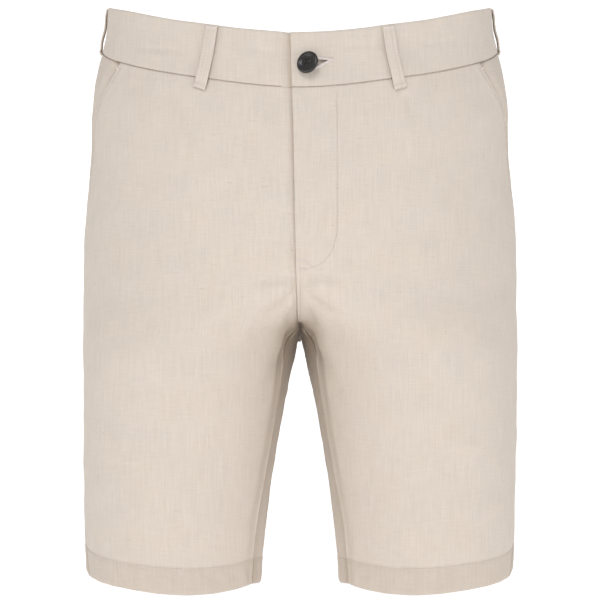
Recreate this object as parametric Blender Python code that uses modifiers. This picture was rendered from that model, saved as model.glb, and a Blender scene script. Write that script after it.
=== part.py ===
"""Bermuda shorts, filled out as they are worn: waist and both hems open, hollow inside.

Metres, +Z up, the front faces -Y, and left and right are the wearer's, so left is +X.
The origin is the middle of the waist, level with the top edge of the waistband at the sides,
where the wearer's waist holds the shorts up.

The cloth is one form for the left half, mirrored for the right. A point on it has two
numbers: t runs round the half, from the centre front (or the inseam, on the leg) at 0, over
the side at 0.5, to the centre back (or the inseam again) at 1, and s runs down the rows of
the tables below, from the top of the waistband to the hem. A panel is a grid of such points,
given its wall by Solidify. What lies on or under a panel is made from the panel's points,
moved out or in along the form's normals.
"""

import math
from collections import namedtuple

import bmesh
import bpy
import numpy as np
from mathutils import Matrix, Vector

MM = 0.001

# The walls and the gaps between pieces.
CLOTH = 1.5 * MM  # one layer of the linen, with its seam allowances
HEM_CLOTH = 2.7 * MM  # the leg cloth turned up at the hem
BAND_CLOTH = 2.4 * MM  # the waistband, folded double over its interlining
LOOP_CLOTH = 1.6 * MM
SEAM_GAP = 0.3 * MM
EDGE_COLUMN = 0.15  # the share of a panel's outermost column that its narrow edge column takes
BAND_PROUD = 0.5 * MM  # how far the waistband stands out from the panels below it

# The fly: the left front laps over the right one.
FLY_LAP_TOP = 7.7 * MM  # past the centre, at the waist seam
FLY_LAP_END = 2.9 * MM  # the same, at the bottom of the fly
UNDERLAP = 24 * MM  # how far the right side runs on beneath the left
LAP_STEP = 7 * MM  # the width over which the right side drops beneath the left

# The side piece that shows in the slanted pocket mouth, beneath the front.
POCKET_HIDDEN = 16 * MM  # how far it runs on under the front
POCKET_DROP = CLOTH + 0.6 * MM
POCKET_RISE = 10 * MM  # the width over which it comes level with the back at the side seam

# The waistband button and its hole.
BUTTON_ACROSS = 19 * MM
BUTTON_THICK = 3.4 * MM
BUTTON_X, BUTTON_Z = 6.8 * MM, -63.3 * MM
BUTTON_TURN = math.radians(28)  # it tips towards the wearer's right
BUTTON_STAND = 5 * MM  # from the band to the middle of its back
BUTTON_HOLE_FROM, BUTTON_HOLE_TO = 3.2 * MM, 24 * MM
BUTTON_HOLE_HIGH = 6.4 * MM
THREAD_ACROSS = 2.6 * MM

LOOP_WIDE = 10.5 * MM
LOOP_BELOW_SEAM = 9 * MM

# How high each row runs at eight places round the half, in millimetres.
STATIONS = (0, 1 / 6, 1 / 3, 1 / 2, 2 / 3, 5 / 6, 0.93, 1)
Heights = namedtuple("Heights", "row start fore thigh side hip seat under end")
HEIGHTS = (
    Heights("top edge", -36.2, -26.8, -10.3, 0, 3, -2.5, -8, -11),
    Heights("band middle", -59.3, -49.4, -32.3, -19.2, -17, -22.5, -28, -31),
    Heights("waist seam", -82.2, -72.1, -54.5, -38, -36.8, -42.5, -48, -50.5),
    Heights("pocket top", -98.5, -89.3, -73.3, -57.7, -56.3, -60, -64, -66),
    Heights("pocket middle", -120, -113, -99.8, -85.8, -83.4, -84.5, -85, -85),
    Heights("pocket end", -155, -151, -142, -131, -128, -127, -127, -127),
    Heights("upper hip", -186, -185, -180, -173, -170, -168, -168, -168),
    Heights("hip", -213, -214, -215, -214, -211, -209, -208, -208),
    Heights("fly end", -236, -240, -244, -245, -243, -241, -240, -239),
    Heights("upper rise", -254, -258, -262, -263, -263, -263, -263, -263),
    Heights("rise", -267, -271, -274, -276, -277, -280, -283, -282),
    Heights("lower rise", -274, -279, -283, -284, -287, -292, -296, -292),
    Heights("crotch", -277, -284, -288, -290, -293, -300, -304, -277),
    Heights("top of leg", -294, -301, -306, -308, -310, -315, -318, -294),
    Heights("thigh", -335, -337, -339, -340, -341, -343, -343, -335),
    Heights("middle thigh", -387, -386, -385, -384, -385, -387, -388, -387),
    Heights("lower thigh", -440, -439.5, -436, -432, -434.5, -440, -442, -440),
    Heights("hem stitch", -476, -478, -472.3, -466, -470, -477, -479.5, -476),
    Heights("hem edge", -497, -500.2, -494, -488, -492, -499, -501.5, -497),
)

# The shape of each row, in millimetres. Near the crotch seam, leg is 0 where the row is half
# of the trunk and 1 where it is a leg of its own; further round, the change takes more rows.
# out and inner are the leg's reach in x; front and back the trunk's reach in y; thigh and
# rear the leg's. inseam is where the leg's inseam lies, in degrees from its outermost point,
# forwards.
Shape = namedtuple("Shape", "row leg out inner front back thigh rear inseam")
SHAPES = (
    Shape("top edge", 0, 166, 3, -108, 108, -108, 108, 165),
    Shape("band middle", 0, 167.3, 3, -110.5, 110.5, -110, 110, 165),
    Shape("waist seam", 0, 171.6, 3, -114, 115, -113, 115, 165),
    Shape("pocket top", 0, 177, 3, -117, 121, -113, 121, 165),
    Shape("pocket middle", 0, 180.8, 3, -120, 129, -113, 129, 165),
    Shape("pocket end", 0, 182.6, 3, -122.5, 142, -113, 138, 165),
    Shape("upper hip", 0, 187, 3, -122.5, 150, -113, 140, 165),
    Shape("hip", 0.01, 189.3, 3, -121, 151.5, -115, 140, 165),
    Shape("fly end", 0.06, 189.4, 3, -120, 149, -115, 138, 165),
    Shape("upper rise", 0.17, 189.2, 3, -119.5, 146, -115, 135, 165),
    Shape("rise", 0.35, 189, 3, -119, 143, -115, 132, 165),
    Shape("lower rise", 0.6, 188.8, 3, -118, 140, -114.5, 129, 165),
    Shape("crotch", 1, 188.6, 4, -117, 137, -114, 125, 165),
    Shape("top of leg", 1, 188.3, 7.5, -116, 134, -112.5, 120, 159),
    Shape("thigh", 1, 188, 13, -113, 125, -108, 111, 157),
    Shape("middle thigh", 1, 187.6, 21.3, -108, 118, -102, 103, 156),
    Shape("lower thigh", 1, 186.9, 29, -104, 110, -96.5, 95, 152),
    Shape("hem stitch", 1, 185.9, 33, -100, 100, -92, 90, 151),
    Shape("hem edge", 1, 184.9, 34.3, -95, 95, -89.5, 87.5, 151),
)

TOP, WAIST_SEAM, FLY_ROW, CROTCH_ROW, HEM_STITCH, HEM = 0, 2, 8, 12, 17, 18
LEG_FROM, LEG_TO = 4, 13  # the rows over which the sides of the trunk turn into the legs
NEAR_SEAM, FAR_FROM_SEAM = 0.08, 0.23  # from a row's front end, as t
FLY_CLOSE = 0.3  # the rows in which the left's lap ends, and then those in which the right rises
SQUARE = 2.3  # 2 is an ellipse; more is squarer
SEAM_REACH = 0.13  # how far from a row's ends the crotch seam pulls it, as t

# The rows that a panel is built on, closer together at the crotch and the hem.
LEG_ROWS = (
    (2.008, 2.5, 3, 3.6, 4.2, 4.6, 5, 5.5, 6, 7, 7.6, 8, 8.3, 8.6, 9.2, 9.8, 10.4, 11, 11.5, 12)
    + (12.5, 13, 13.7, 14.6, 15.7, 16.97, 17.12, 18)
)

# Where the side seam and the pocket's edge run, as t, at rows of the tables.
Line = namedtuple("Line", "s t")
SIDE_SEAM = (
    Line(0, 0.452),
    Line(2, 0.452),
    Line(5.5, 0.436),
    Line(7, 0.46),
    Line(13, 0.468),
    Line(16, 0.445),
    Line(18, 0.405),
)
POCKET_EDGE = (Line(2, 0.325), Line(3, 0.347), Line(3.6, 0.372), Line(4.2, 0.4), Line(5.5, 0.436))

# Each belt loop: its place as t at the top edge and at its lower end, and how far it stands
# off the band at its middle.
Loop = namedtuple("Loop", "name sign t_top t_low stand")
LOOPS = (
    Loop("belt_loop_front_left", 1, 0.138, 0.151, 2.4 * MM),
    Loop("belt_loop_front_right", -1, 0.138, 0.151, 2.4 * MM),
    Loop("belt_loop_side_left", 1, 0.505, 0.505, 3.4 * MM),
    Loop("belt_loop_side_right", -1, 0.505, 0.505, 3.4 * MM),
    Loop("belt_loop_back", 1, 0.9999, 0.9999, 2.4 * MM),
)

LINEN = ((0.74, 0.66, 0.58, 1), 0.9)
BUTTON_COLOUR = ((0.035, 0.036, 0.04, 1), 0.35)
THREAD_COLOUR = ((0.62, 0.55, 0.5, 1), 0.8)


def slopes(places, values):
    """The slope of a smooth curve at each of its points, from the points on either side."""
    secants = np.diff(values, axis=-1) / np.diff(places)
    inner = (secants[..., 1:] + secants[..., :-1]) / 2
    return np.concatenate([secants[..., :1], inner, secants[..., -1:]], axis=-1)


def along(places, values, tangents, at):
    """The cubic through the points with those slopes, at each place asked for."""
    i = np.clip(np.searchsorted(places, at, side="right") - 1, 0, len(places) - 2)
    rows = np.arange(len(at))
    wide = places[i + 1] - places[i]
    u = (at - places[i]) / wide
    low, high = values[rows, i], values[rows, i + 1]
    rise_low, rise_high = tangents[rows, i] * wide, tangents[rows, i + 1] * wide
    return (
        (1 + 2 * u) * (1 - u) ** 2 * low
        + u * (1 - u) ** 2 * rise_low
        + u**2 * (3 - 2 * u) * high
        - u**2 * (1 - u) * rise_high
    )


def column(values, s):
    """A column of a table at each s, smoothly between its rows."""
    values = np.asarray(values, float)
    places = np.arange(len(values), dtype=float)
    tangents = np.broadcast_to(slopes(places, values), (len(s), len(values)))
    return along(places, np.broadcast_to(values, tangents.shape), tangents, s)


def rounded(turn):
    """The cosine and sine of a squared circle, at an angle from its side towards the back."""
    reach = (np.abs(np.cos(turn)) ** SQUARE + np.abs(np.sin(turn)) ** SQUARE) ** (-1 / SQUARE)
    return reach * np.cos(turn), reach * np.sin(turn)


def row_curve(t, s, shape):
    """x and y of a row at t, before the crotch seam pulls its ends: trunk, leg or between.

    Near the crotch a point of the trunk takes its x from the leg below, so that they blend
    without a ledge.
    """
    inseam = np.radians(shape["inseam"])
    across, deep = rounded(np.where(t < 0.5, inseam, 2 * math.pi - inseam) * (2 * t - 1))
    half_width = (shape["out"] - shape["inner"]) / 2
    leg_x = shape["inner"] + half_width * (1 + across)
    leg_y = (shape["thigh"] + shape["rear"]) / 2 + (shape["rear"] - shape["thigh"]) / 2 * deep
    seam_x = shape["inner"] + half_width * (1 + rounded(inseam)[0])
    as_trunk, _ = rounded(math.pi * (t - 0.5))
    as_leg = np.clip((leg_x - seam_x) / (shape["out"] - seam_x), 0, 1)
    across = as_trunk + (as_leg - as_trunk) * smooth_step((s - LEG_FROM) / (FLY_ROW - LEG_FROM))
    across = np.clip(across, 0, 1)
    deep = np.sign(t - 0.5) * (1 - across**SQUARE) ** (1 / SQUARE)
    trunk_x = shape["out"] * across
    trunk_y = (shape["front"] + shape["back"]) / 2 + (shape["back"] - shape["front"]) / 2 * deep
    from_seam = np.minimum(t, (1 - t) * shape["inseam"] / (360 - shape["inseam"]))
    far = smooth_step((from_seam - NEAR_SEAM) / (FAR_FROM_SEAM - NEAR_SEAM))
    at_side = smooth_step((s - LEG_FROM) / (LEG_TO - LEG_FROM))
    leg = shape["leg"] + (at_side - shape["leg"]) * far
    return trunk_x + leg * (leg_x - trunk_x), trunk_y + leg * (leg_y - trunk_y)


def form(t, s):
    """Points of the left half of the shorts, in metres. A t below 0 goes on past the centre front."""
    t, s = (np.asarray(a, float).ravel() for a in np.broadcast_arrays(t, s))
    side, t = np.sign(t + 1e-12), np.abs(t)
    s = np.clip(s, TOP, HEM)
    shape = {name: column([getattr(row, name) for row in SHAPES], s) for name in Shape._fields[1:]}
    shape["leg"] = np.clip(shape["leg"], 0, 1)
    x, y = row_curve(t, s, shape)
    x_start, _ = row_curve(np.zeros_like(t), s, shape)
    x_end, _ = row_curve(np.ones_like(t), s, shape)
    hold = smooth_step(CROTCH_ROW + 1 - s)  # the crotch seam lets go one row below itself
    apart = SEAM_GAP / 2 / MM * smooth_step(s - FLY_ROW + 1)
    apart_behind = apart * (1 + 2 * smooth_step((s - FLY_ROW) / 2))  # the seat's seam turns under
    x = x + (apart - x_start) * hold * np.clip(1 - t / SEAM_REACH, 0, 1) ** 2
    x = x + (apart_behind - x_end) * hold * np.clip(1 - (1 - t) / SEAM_REACH, 0, 1) ** 2
    stations = np.array(STATIONS)
    levels = np.stack([column(values, s) for values in zip(*(row[1:] for row in HEIGHTS))], axis=1)
    tilt = slopes(stations, levels)
    tilt[:, 0] *= shape["leg"]
    tilt[:, -1] *= shape["leg"]
    z = along(stations, levels, tilt, t)
    return np.stack([x * side, y, z], axis=1) * MM


def outward(t, s):
    """The form's unit normals, pointing out of the shorts."""
    t, s = (np.asarray(a, float).ravel() for a in np.broadcast_arrays(t, s))
    dt, ds = 0.002, 0.01
    high_t, low_t = np.minimum(t + dt, 1), t - dt
    low_s, high_s = np.clip(s - ds, TOP, HEM), np.clip(s + ds, TOP, HEM)
    normal = np.cross(form(high_t, s) - form(low_t, s), form(t, low_s) - form(t, high_s))
    return normal / np.linalg.norm(normal, axis=1)[:, None]


def line_at(line, s):
    """t of a line of the tables at each s."""
    places = np.array([row.s for row in line], float)
    values = np.array([row.t for row in line], float)
    s = np.clip(s, places[0], places[-1])
    tangents = np.broadcast_to(slopes(places, values), (len(s), len(values)))
    return along(places, np.broadcast_to(values, tangents.shape), tangents, s)


def arc_as_t(distance, t, s):
    """A distance along a row, as a change of t."""
    step = 0.001
    return distance * step / np.linalg.norm(form(t + step, s) - form(t, s), axis=1)


def smooth_step(x):
    x = np.clip(x, 0, 1)
    return x * x * (3 - 2 * x)


def t_round(distance, s):
    """t that far round from the centre front at each s. A negative distance goes past it."""
    steps = np.linspace(0, 0.3, 61)
    points = form(np.tile(steps, len(s)), np.repeat(s, len(steps))).reshape(len(s), len(steps), 3)
    lengths = np.linalg.norm(np.diff(points, axis=1), axis=2)
    arcs = np.concatenate([np.zeros((len(s), 1)), np.cumsum(lengths, axis=1)], axis=1)
    distance = np.broadcast_to(distance, s.shape)
    return np.array([np.sign(d) * np.interp(abs(d), arc, steps) for d, arc in zip(distance, arcs)])


def guided_points(guides, s, lift=None, sign=1):
    """A grid of points, a row for each s. guides are (t at each s, columns on to the next).

    A narrow column just inside each edge makes the walls of two panels meet squarely.
    """
    columns = []
    for (t_from, cells), (t_to, _) in zip(guides, guides[1:]):
        columns += [t_from + (t_to - t_from) * i / cells for i in range(cells)]
    columns.append(guides[-1][0])
    first, last = columns[0], columns[-1]
    columns.insert(1, first + (columns[1] - first) * EDGE_COLUMN)
    columns.insert(-1, last - (last - columns[-2]) * EDGE_COLUMN)
    t = np.stack(columns, axis=1)
    down = np.repeat(s, t.shape[1])
    points = form(t.ravel(), down)
    if lift is not None:
        points = points + outward(t.ravel(), down) * lift(t.ravel(), down)[:, None]
    points[:, 0] *= sign
    return points.reshape(len(s), t.shape[1], 3)


def finish_object(name, mesh, material, collection):
    obj = bpy.data.objects.new(name, mesh)
    mesh.materials.append(material)
    collection.objects.link(obj)
    return obj


def sheet_object(name, points, wall, material, collection, sign=1, thick_rows=None):
    """An open sheet through a grid of points, given its wall inwards by Solidify.

    thick_rows, as (rows, share), has the full wall there and that share of it elsewhere.
    """
    rows, columns = points.shape[:2]
    mesh = bpy.data.meshes.new(name)
    bm = bmesh.new()
    grid = [[bm.verts.new(p) for p in row] for row in points]
    for i in range(rows - 1):
        for j in range(columns - 1):
            corners = (grid[i][j], grid[i + 1][j], grid[i + 1][j + 1], grid[i][j + 1])
            bm.faces.new(corners if sign > 0 else corners[::-1])
    bm.to_mesh(mesh)
    bm.free()
    obj = finish_object(name, mesh, material, collection)
    solidify = obj.modifiers.new("Wall", "SOLIDIFY")
    solidify.thickness = wall
    solidify.offset = -1
    if thick_rows is not None:
        full, share = thick_rows
        group = obj.vertex_groups.new(name="turned_up")
        group.add([i * columns + j for i in full for j in range(columns)], 1.0, "REPLACE")
        solidify.vertex_group = group.name
        solidify.thickness_vertex_group = share
    return obj


def hem_rows():
    return [i for i, value in enumerate(LEG_ROWS) if value > HEM_STITCH]


def fly_lap(s):
    """How far the left side laps past the centre at each s, in metres; nothing below the fly."""
    down = np.clip((s - TOP) / (FLY_ROW - TOP), 0, 1)
    lap = FLY_LAP_TOP + (FLY_LAP_END - FLY_LAP_TOP) * down
    return lap * np.clip((FLY_ROW + FLY_CLOSE - s) / FLY_CLOSE, 0, 1)


def dropped(depth):
    """A lift that moves the right side in where the left side laps over it."""

    def lift(t, s):
        begin, full = lap_step(s)
        share = smooth_step((begin - t) / (begin - full))
        return -depth * share * np.clip((FLY_ROW + 2 * FLY_CLOSE - s) / FLY_CLOSE, 0, 1)

    return lift


def lap_step(s):
    """t on the right side where it begins to drop, and where it has dropped all the way."""
    down = np.clip((s - TOP) / (FLY_ROW - TOP), 0, 1)
    lap = FLY_LAP_TOP + (FLY_LAP_END - FLY_LAP_TOP) * down
    return t_round(lap + LAP_STEP, s), t_round(lap + 1.5 * MM, s)


def inseam_gap(s):
    """Half the gap at the inseam: wider where it turns sharply, just below the crotch."""
    return SEAM_GAP / 2 * (1 + 6 * np.clip(1 - np.abs(s - CROTCH_ROW - 0.2), 0, 1) ** 2)


def seam_start(s):
    """t of an edge at the centre front or, below the crotch, at the inseam."""
    gap = arc_as_t(inseam_gap(s), np.zeros_like(s), s)
    on_crotch_seam = (s > FLY_ROW + FLY_CLOSE / 2) & (s < CROTCH_ROW - 0.01)
    return np.where(on_crotch_seam, 0, gap)


def seam_end(s):
    """t of an edge at the centre back or, below the crotch, at the inseam."""
    gap = arc_as_t(inseam_gap(s), np.full_like(s, 0.99), s)
    on_crotch_seam = (s > FLY_ROW - 0.01) & (s < CROTCH_ROW - 0.01)
    return 1 - np.where(on_crotch_seam, 0, gap)


def under_start(s):
    """t of the right side's hidden edge: past the centre, down to near the end of the fly."""
    reach = UNDERLAP * smooth_step((FLY_ROW - 0.3 - s) / 0.8)
    return seam_start(s) - t_round(reach, s)


def front_edge(s):
    """t of the front's outer edge: the pocket's edge, and below that the side seam."""
    gap = arc_as_t(SEAM_GAP / 2, np.full_like(s, 0.4), s)
    seam = line_at(SIDE_SEAM, s) - gap
    return np.where(s < POCKET_EDGE[-1].s, np.minimum(line_at(POCKET_EDGE, s), seam), seam)


def front_panels(linen, collection):
    s = np.array(LEG_ROWS)
    edge = front_edge(s)
    hidden = edge - arc_as_t(POCKET_HIDDEN, np.full_like(s, 0.4), s)
    lap = t_round(fly_lap(s), s)
    under = t_round(UNDERLAP, s)
    walls = (hem_rows(), CLOTH / HEM_CLOTH)
    left_start = np.where(lap > 0, -lap, seam_start(s))
    guides = ((left_start, 2), (under, 7), (hidden, 1), (edge, 0))
    points = guided_points(guides, s)
    sheet_object("front_left", points, HEM_CLOTH, linen, collection, 1, walls)
    begin, full = lap_step(s)
    guides = ((under_start(s), 2), (full, 1), (begin, 8), (hidden, 1), (edge, 0))
    points = guided_points(guides, s, dropped(CLOTH + SEAM_GAP), -1)
    sheet_object("front_right", points, HEM_CLOTH, linen, collection, -1, walls)


def back_panels(linen, collection):
    s = np.array(LEG_ROWS)
    gap = arc_as_t(SEAM_GAP / 2, np.full_like(s, 0.55), s)
    guides = ((line_at(SIDE_SEAM, s) + gap, 14), (seam_end(s), 0))
    walls = (hem_rows(), CLOTH / HEM_CLOTH)
    for name, sign in (("back_left", 1), ("back_right", -1)):
        points = guided_points(guides, s, None, sign)
        sheet_object(name, points, HEM_CLOTH, linen, collection, sign, walls)


def pocket_sides(linen, collection):
    """The side pieces that show in the pocket mouths, just beneath the fronts."""
    s = np.array([row for row in LEG_ROWS if row <= 6])
    at_side = np.full_like(s, 0.4)
    edge = front_edge(s)
    hidden = edge - arc_as_t(POCKET_HIDDEN, at_side, s)
    end = line_at(SIDE_SEAM, s) - arc_as_t(SEAM_GAP / 2, at_side, s)
    mouth = np.minimum(edge, end - arc_as_t(4 * MM, at_side, s))

    def lift(t, s):
        past = line_at(POCKET_EDGE, s) + arc_as_t(2 * MM, np.full_like(s, 0.4), s)
        risen = smooth_step((t - past) / arc_as_t(POCKET_RISE, np.full_like(s, 0.4), s))
        return -POCKET_DROP * (1 - risen)

    guides = ((hidden, 1), (mouth, 4), (end, 0))
    for name, sign in (("pocket_side_left", 1), ("pocket_side_right", -1)):
        points = guided_points(guides, s, lift, sign)
        sheet_object(name, points, CLOTH * 0.8, linen, collection, sign)


def waistbands(linen, collection):
    s = np.linspace(TOP, WAIST_SEAM - 0.008, 5)
    end = seam_end(s)
    start = -t_round(fly_lap(s), s)
    under = t_round(UNDERLAP, s)
    guides = ((start, 2), (under, 26), (end, 0))
    points = guided_points(guides, s, lambda t, s: np.full_like(t, BAND_PROUD))
    left = sheet_object("waistband_left", points, BAND_CLOTH, linen, collection)
    begin, full = lap_step(s)
    drop = dropped(BAND_CLOTH + SEAM_GAP)
    guides = ((under_start(s), 2), (full, 1), (begin, 26), (end, 0))
    points = guided_points(guides, s, lambda t, s: BAND_PROUD + drop(t, s), -1)
    sheet_object("waistband_right", points, BAND_CLOTH, linen, collection, -1)
    return left


def button_place():
    """The band's outer face behind the button: a point of it and the way it faces."""
    s = np.linspace(0.3, 1.7, 60)
    t = t_round(BUTTON_X, s)
    points = form(t, s)
    best = int(np.argmin(np.abs(points[:, 2] - BUTTON_Z)))
    normal = Vector(outward(t[best], s[best])[0])
    return Vector(points[best]) + normal * BAND_PROUD, normal


def solid_mesh(name, bm, material, collection):
    mesh = bpy.data.meshes.new(name)
    bm.to_mesh(mesh)
    bm.free()
    return finish_object(name, mesh, material, collection)


def cut_button_hole(band, cutters):
    """The hole is spread open at the thread and closes to a point at its far end."""
    place = button_place()[0]
    bm = bmesh.new()
    half = BUTTON_HOLE_HIGH / 2
    outline = (
        (BUTTON_HOLE_FROM, -half),
        (BUTTON_X + THREAD_ACROSS, -half),
        (BUTTON_HOLE_TO, -0.4 * MM),
        (BUTTON_HOLE_TO, 0.4 * MM),
        (BUTTON_X + THREAD_ACROSS, half),
        (BUTTON_HOLE_FROM, half),
    )
    deep = 4 * BAND_CLOTH
    corners = [bm.verts.new((x, place.y + deep, place.z + z)) for x, z in outline]
    face = bm.faces.new(corners)
    grown = bmesh.ops.extrude_face_region(bm, geom=[face])["geom"]
    moved = [v for v in grown if isinstance(v, bmesh.types.BMVert)]
    bmesh.ops.translate(bm, verts=moved, vec=(0, -2 * deep, 0))
    bmesh.ops.recalc_face_normals(bm, faces=bm.faces)
    mesh = bpy.data.meshes.new("button_hole_cutter")
    bm.to_mesh(mesh)
    bm.free()
    cutter = bpy.data.objects.new("button_hole_cutter", mesh)
    cutters.objects.link(cutter)
    cutter.hide_render = True
    cutter.display_type = "WIRE"
    hole = band.modifiers.new("ButtonHole", "BOOLEAN")
    hole.operation = "DIFFERENCE"
    hole.object = cutter


def button(material, thread, collection, cutters):
    """A four-hole button with a raised rim and a dished face, and the thread it stands on."""
    place, normal = button_place()
    face = (normal + Vector((-math.tan(BUTTON_TURN), 0, 0.16))).normalized()
    turn = face.to_track_quat("Z", "X").to_matrix().to_4x4()
    back = place + normal * BUTTON_STAND
    radius = BUTTON_ACROSS / 2
    profile = (
        (0, BUTTON_THICK * 0.62),
        (radius * 0.52, BUTTON_THICK * 0.62),
        (radius * 0.66, BUTTON_THICK * 0.9),
        (radius * 0.80, BUTTON_THICK),
        (radius * 0.94, BUTTON_THICK * 0.82),
        (radius, BUTTON_THICK * 0.5),
        (radius * 0.93, BUTTON_THICK * 0.16),
        (radius * 0.7, 0),
        (0, 0),
    )
    steps = 32
    bm = bmesh.new()
    rim = [bm.verts.new((r, 0, z)) for r, z in profile]
    edges = [bm.edges.new(pair) for pair in zip(rim, rim[1:])]
    bmesh.ops.spin(
        bm, geom=rim + edges, cent=(0, 0, 0), axis=(0, 0, 1), angle=2 * math.pi, steps=steps
    )
    bmesh.ops.remove_doubles(bm, verts=bm.verts, dist=0.02 * MM)
    bmesh.ops.dissolve_degenerate(bm, edges=bm.edges, dist=0.01 * MM)
    bmesh.ops.recalc_face_normals(bm, faces=bm.faces)
    disc = solid_mesh("button", bm, material, collection)
    disc.matrix_world = Matrix.Translation(back) @ turn
    for i in range(4):
        angle = math.pi / 4 + i * math.pi / 2
        bm = bmesh.new()
        bmesh.ops.create_cone(
            bm,
            cap_ends=True,
            segments=10,
            radius1=0.9 * MM,
            radius2=0.9 * MM,
            depth=3 * BUTTON_THICK,
        )
        mesh = bpy.data.meshes.new(f"button_eye_{i}")
        bm.to_mesh(mesh)
        bm.free()
        cutter = bpy.data.objects.new(f"button_eye_{i}", mesh)
        cutters.objects.link(cutter)
        cutter.hide_render = True
        cutter.display_type = "WIRE"
        local = Vector((1.9 * MM * math.cos(angle), 1.9 * MM * math.sin(angle), 0))
        cutter.matrix_world = Matrix.Translation(back + turn @ local) @ turn
        eye = disc.modifiers.new(f"Eye{i}", "BOOLEAN")
        eye.operation = "DIFFERENCE"
        eye.object = cutter
    foot = place - normal * (BAND_CLOTH - SEAM_GAP)
    head = back - face * 3 * SEAM_GAP
    bm = bmesh.new()
    bmesh.ops.create_cone(
        bm,
        cap_ends=True,
        segments=12,
        radius1=THREAD_ACROSS / 2,
        radius2=THREAD_ACROSS / 2,
        depth=(head - foot).length,
    )
    shank = solid_mesh("button_thread", bm, thread, collection)
    lean = (head - foot).normalized().to_track_quat("Z", "X").to_matrix().to_4x4()
    shank.matrix_world = Matrix.Translation((head + foot) / 2) @ lean


def belt_loop(loop, linen, collection):
    """A strap from the band's top edge to below the waist seam, standing off the band between."""
    steps = 13
    s_low = WAIST_SEAM + 0.55
    s = np.linspace(TOP + 0.04, s_low, steps)
    share = np.linspace(0, 1, steps)
    t = loop.t_top + (loop.t_low - loop.t_top) * share
    centre = form(t, s)
    normal = outward(np.minimum(t, 0.995), s)
    if loop.t_top > 0.99:
        centre[:, 0] = 0
        normal[:, 0] = 0
        normal /= np.linalg.norm(normal, axis=1)[:, None]
    centre[:, 0] *= loop.sign
    normal[:, 0] *= loop.sign
    rise = np.sin(math.pi * share) ** 0.6
    seat = np.where(s < WAIST_SEAM, BAND_PROUD, BAND_PROUD * np.clip(1 - (s - WAIST_SEAM) * 4, 0, 1))
    lift = LOOP_CLOTH + SEAM_GAP + seat + loop.stand * rise
    across = np.cross(normal, np.gradient(centre, axis=0))
    across /= np.linalg.norm(across, axis=1)[:, None]
    points = np.stack(
        [
            centre + normal * (lift - flat)[:, None] + across * side * LOOP_WIDE / 2
            for side, flat in ((-1, 0.25 * MM), (-0.7, 0), (0.7, 0), (1, 0.25 * MM))
        ],
        axis=1,
    )
    sheet_object(loop.name, points, LOOP_CLOTH, linen, collection)


def make_material(name, look):
    colour, roughness = look
    material = bpy.data.materials.new(name)
    material.use_nodes = True
    shader = material.node_tree.nodes["Principled BSDF"]
    shader.inputs["Base Color"].default_value = colour
    shader.inputs["Roughness"].default_value = roughness
    shader.inputs["Metallic"].default_value = 0
    return material


def clear_scene():
    for obj in list(bpy.data.objects):
        bpy.data.objects.remove(obj)


def new_collection(name):
    collection = bpy.data.collections.new(name)
    bpy.context.scene.collection.children.link(collection)
    return collection


def main():
    clear_scene()
    parts = new_collection("bermuda_shorts")
    cutters = new_collection("cutters")
    linen = make_material("linen", LINEN)
    front_panels(linen, parts)
    back_panels(linen, parts)
    pocket_sides(linen, parts)
    band = waistbands(linen, parts)
    cut_button_hole(band, cutters)
    thread = make_material("thread", THREAD_COLOUR)
    button(make_material("button", BUTTON_COLOUR), thread, parts, cutters)
    for loop in LOOPS:
        belt_loop(loop, linen, parts)


main()
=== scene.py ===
"""Linen bermuda shorts: the looks of the garment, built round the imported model."""

import math
from collections import namedtuple

import bpy
import numpy as np
from mathutils import Matrix, Vector


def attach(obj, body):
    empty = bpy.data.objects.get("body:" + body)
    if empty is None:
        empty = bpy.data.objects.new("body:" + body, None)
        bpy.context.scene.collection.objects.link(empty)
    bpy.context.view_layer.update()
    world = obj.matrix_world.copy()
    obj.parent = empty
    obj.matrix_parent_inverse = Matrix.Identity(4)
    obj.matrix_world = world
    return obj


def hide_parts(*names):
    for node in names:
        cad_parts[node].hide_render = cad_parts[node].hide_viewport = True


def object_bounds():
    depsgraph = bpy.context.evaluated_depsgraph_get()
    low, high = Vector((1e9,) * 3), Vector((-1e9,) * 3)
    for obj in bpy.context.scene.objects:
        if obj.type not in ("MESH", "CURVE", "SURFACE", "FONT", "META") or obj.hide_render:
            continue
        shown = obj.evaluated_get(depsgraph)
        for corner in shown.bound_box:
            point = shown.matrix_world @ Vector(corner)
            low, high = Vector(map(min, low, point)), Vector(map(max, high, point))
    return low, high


bl_info = {
    "name": "Bermuda Shorts",
    "version": (1, 0, 0),
    "blender": (4, 5, 0),
    "location": "View3D > Sidebar > Shorts",
    "description": "Builds linen bermuda shorts with creases, seams, stitching and a button",
    "category": "Object",
}

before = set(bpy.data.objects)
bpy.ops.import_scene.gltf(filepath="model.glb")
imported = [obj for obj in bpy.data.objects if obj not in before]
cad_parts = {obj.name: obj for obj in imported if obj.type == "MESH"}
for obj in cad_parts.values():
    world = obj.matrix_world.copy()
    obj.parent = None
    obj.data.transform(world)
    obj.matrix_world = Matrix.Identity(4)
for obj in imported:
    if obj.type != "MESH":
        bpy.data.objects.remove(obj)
CAD_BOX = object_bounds()

MM = 0.001
BODY = "root"

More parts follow.
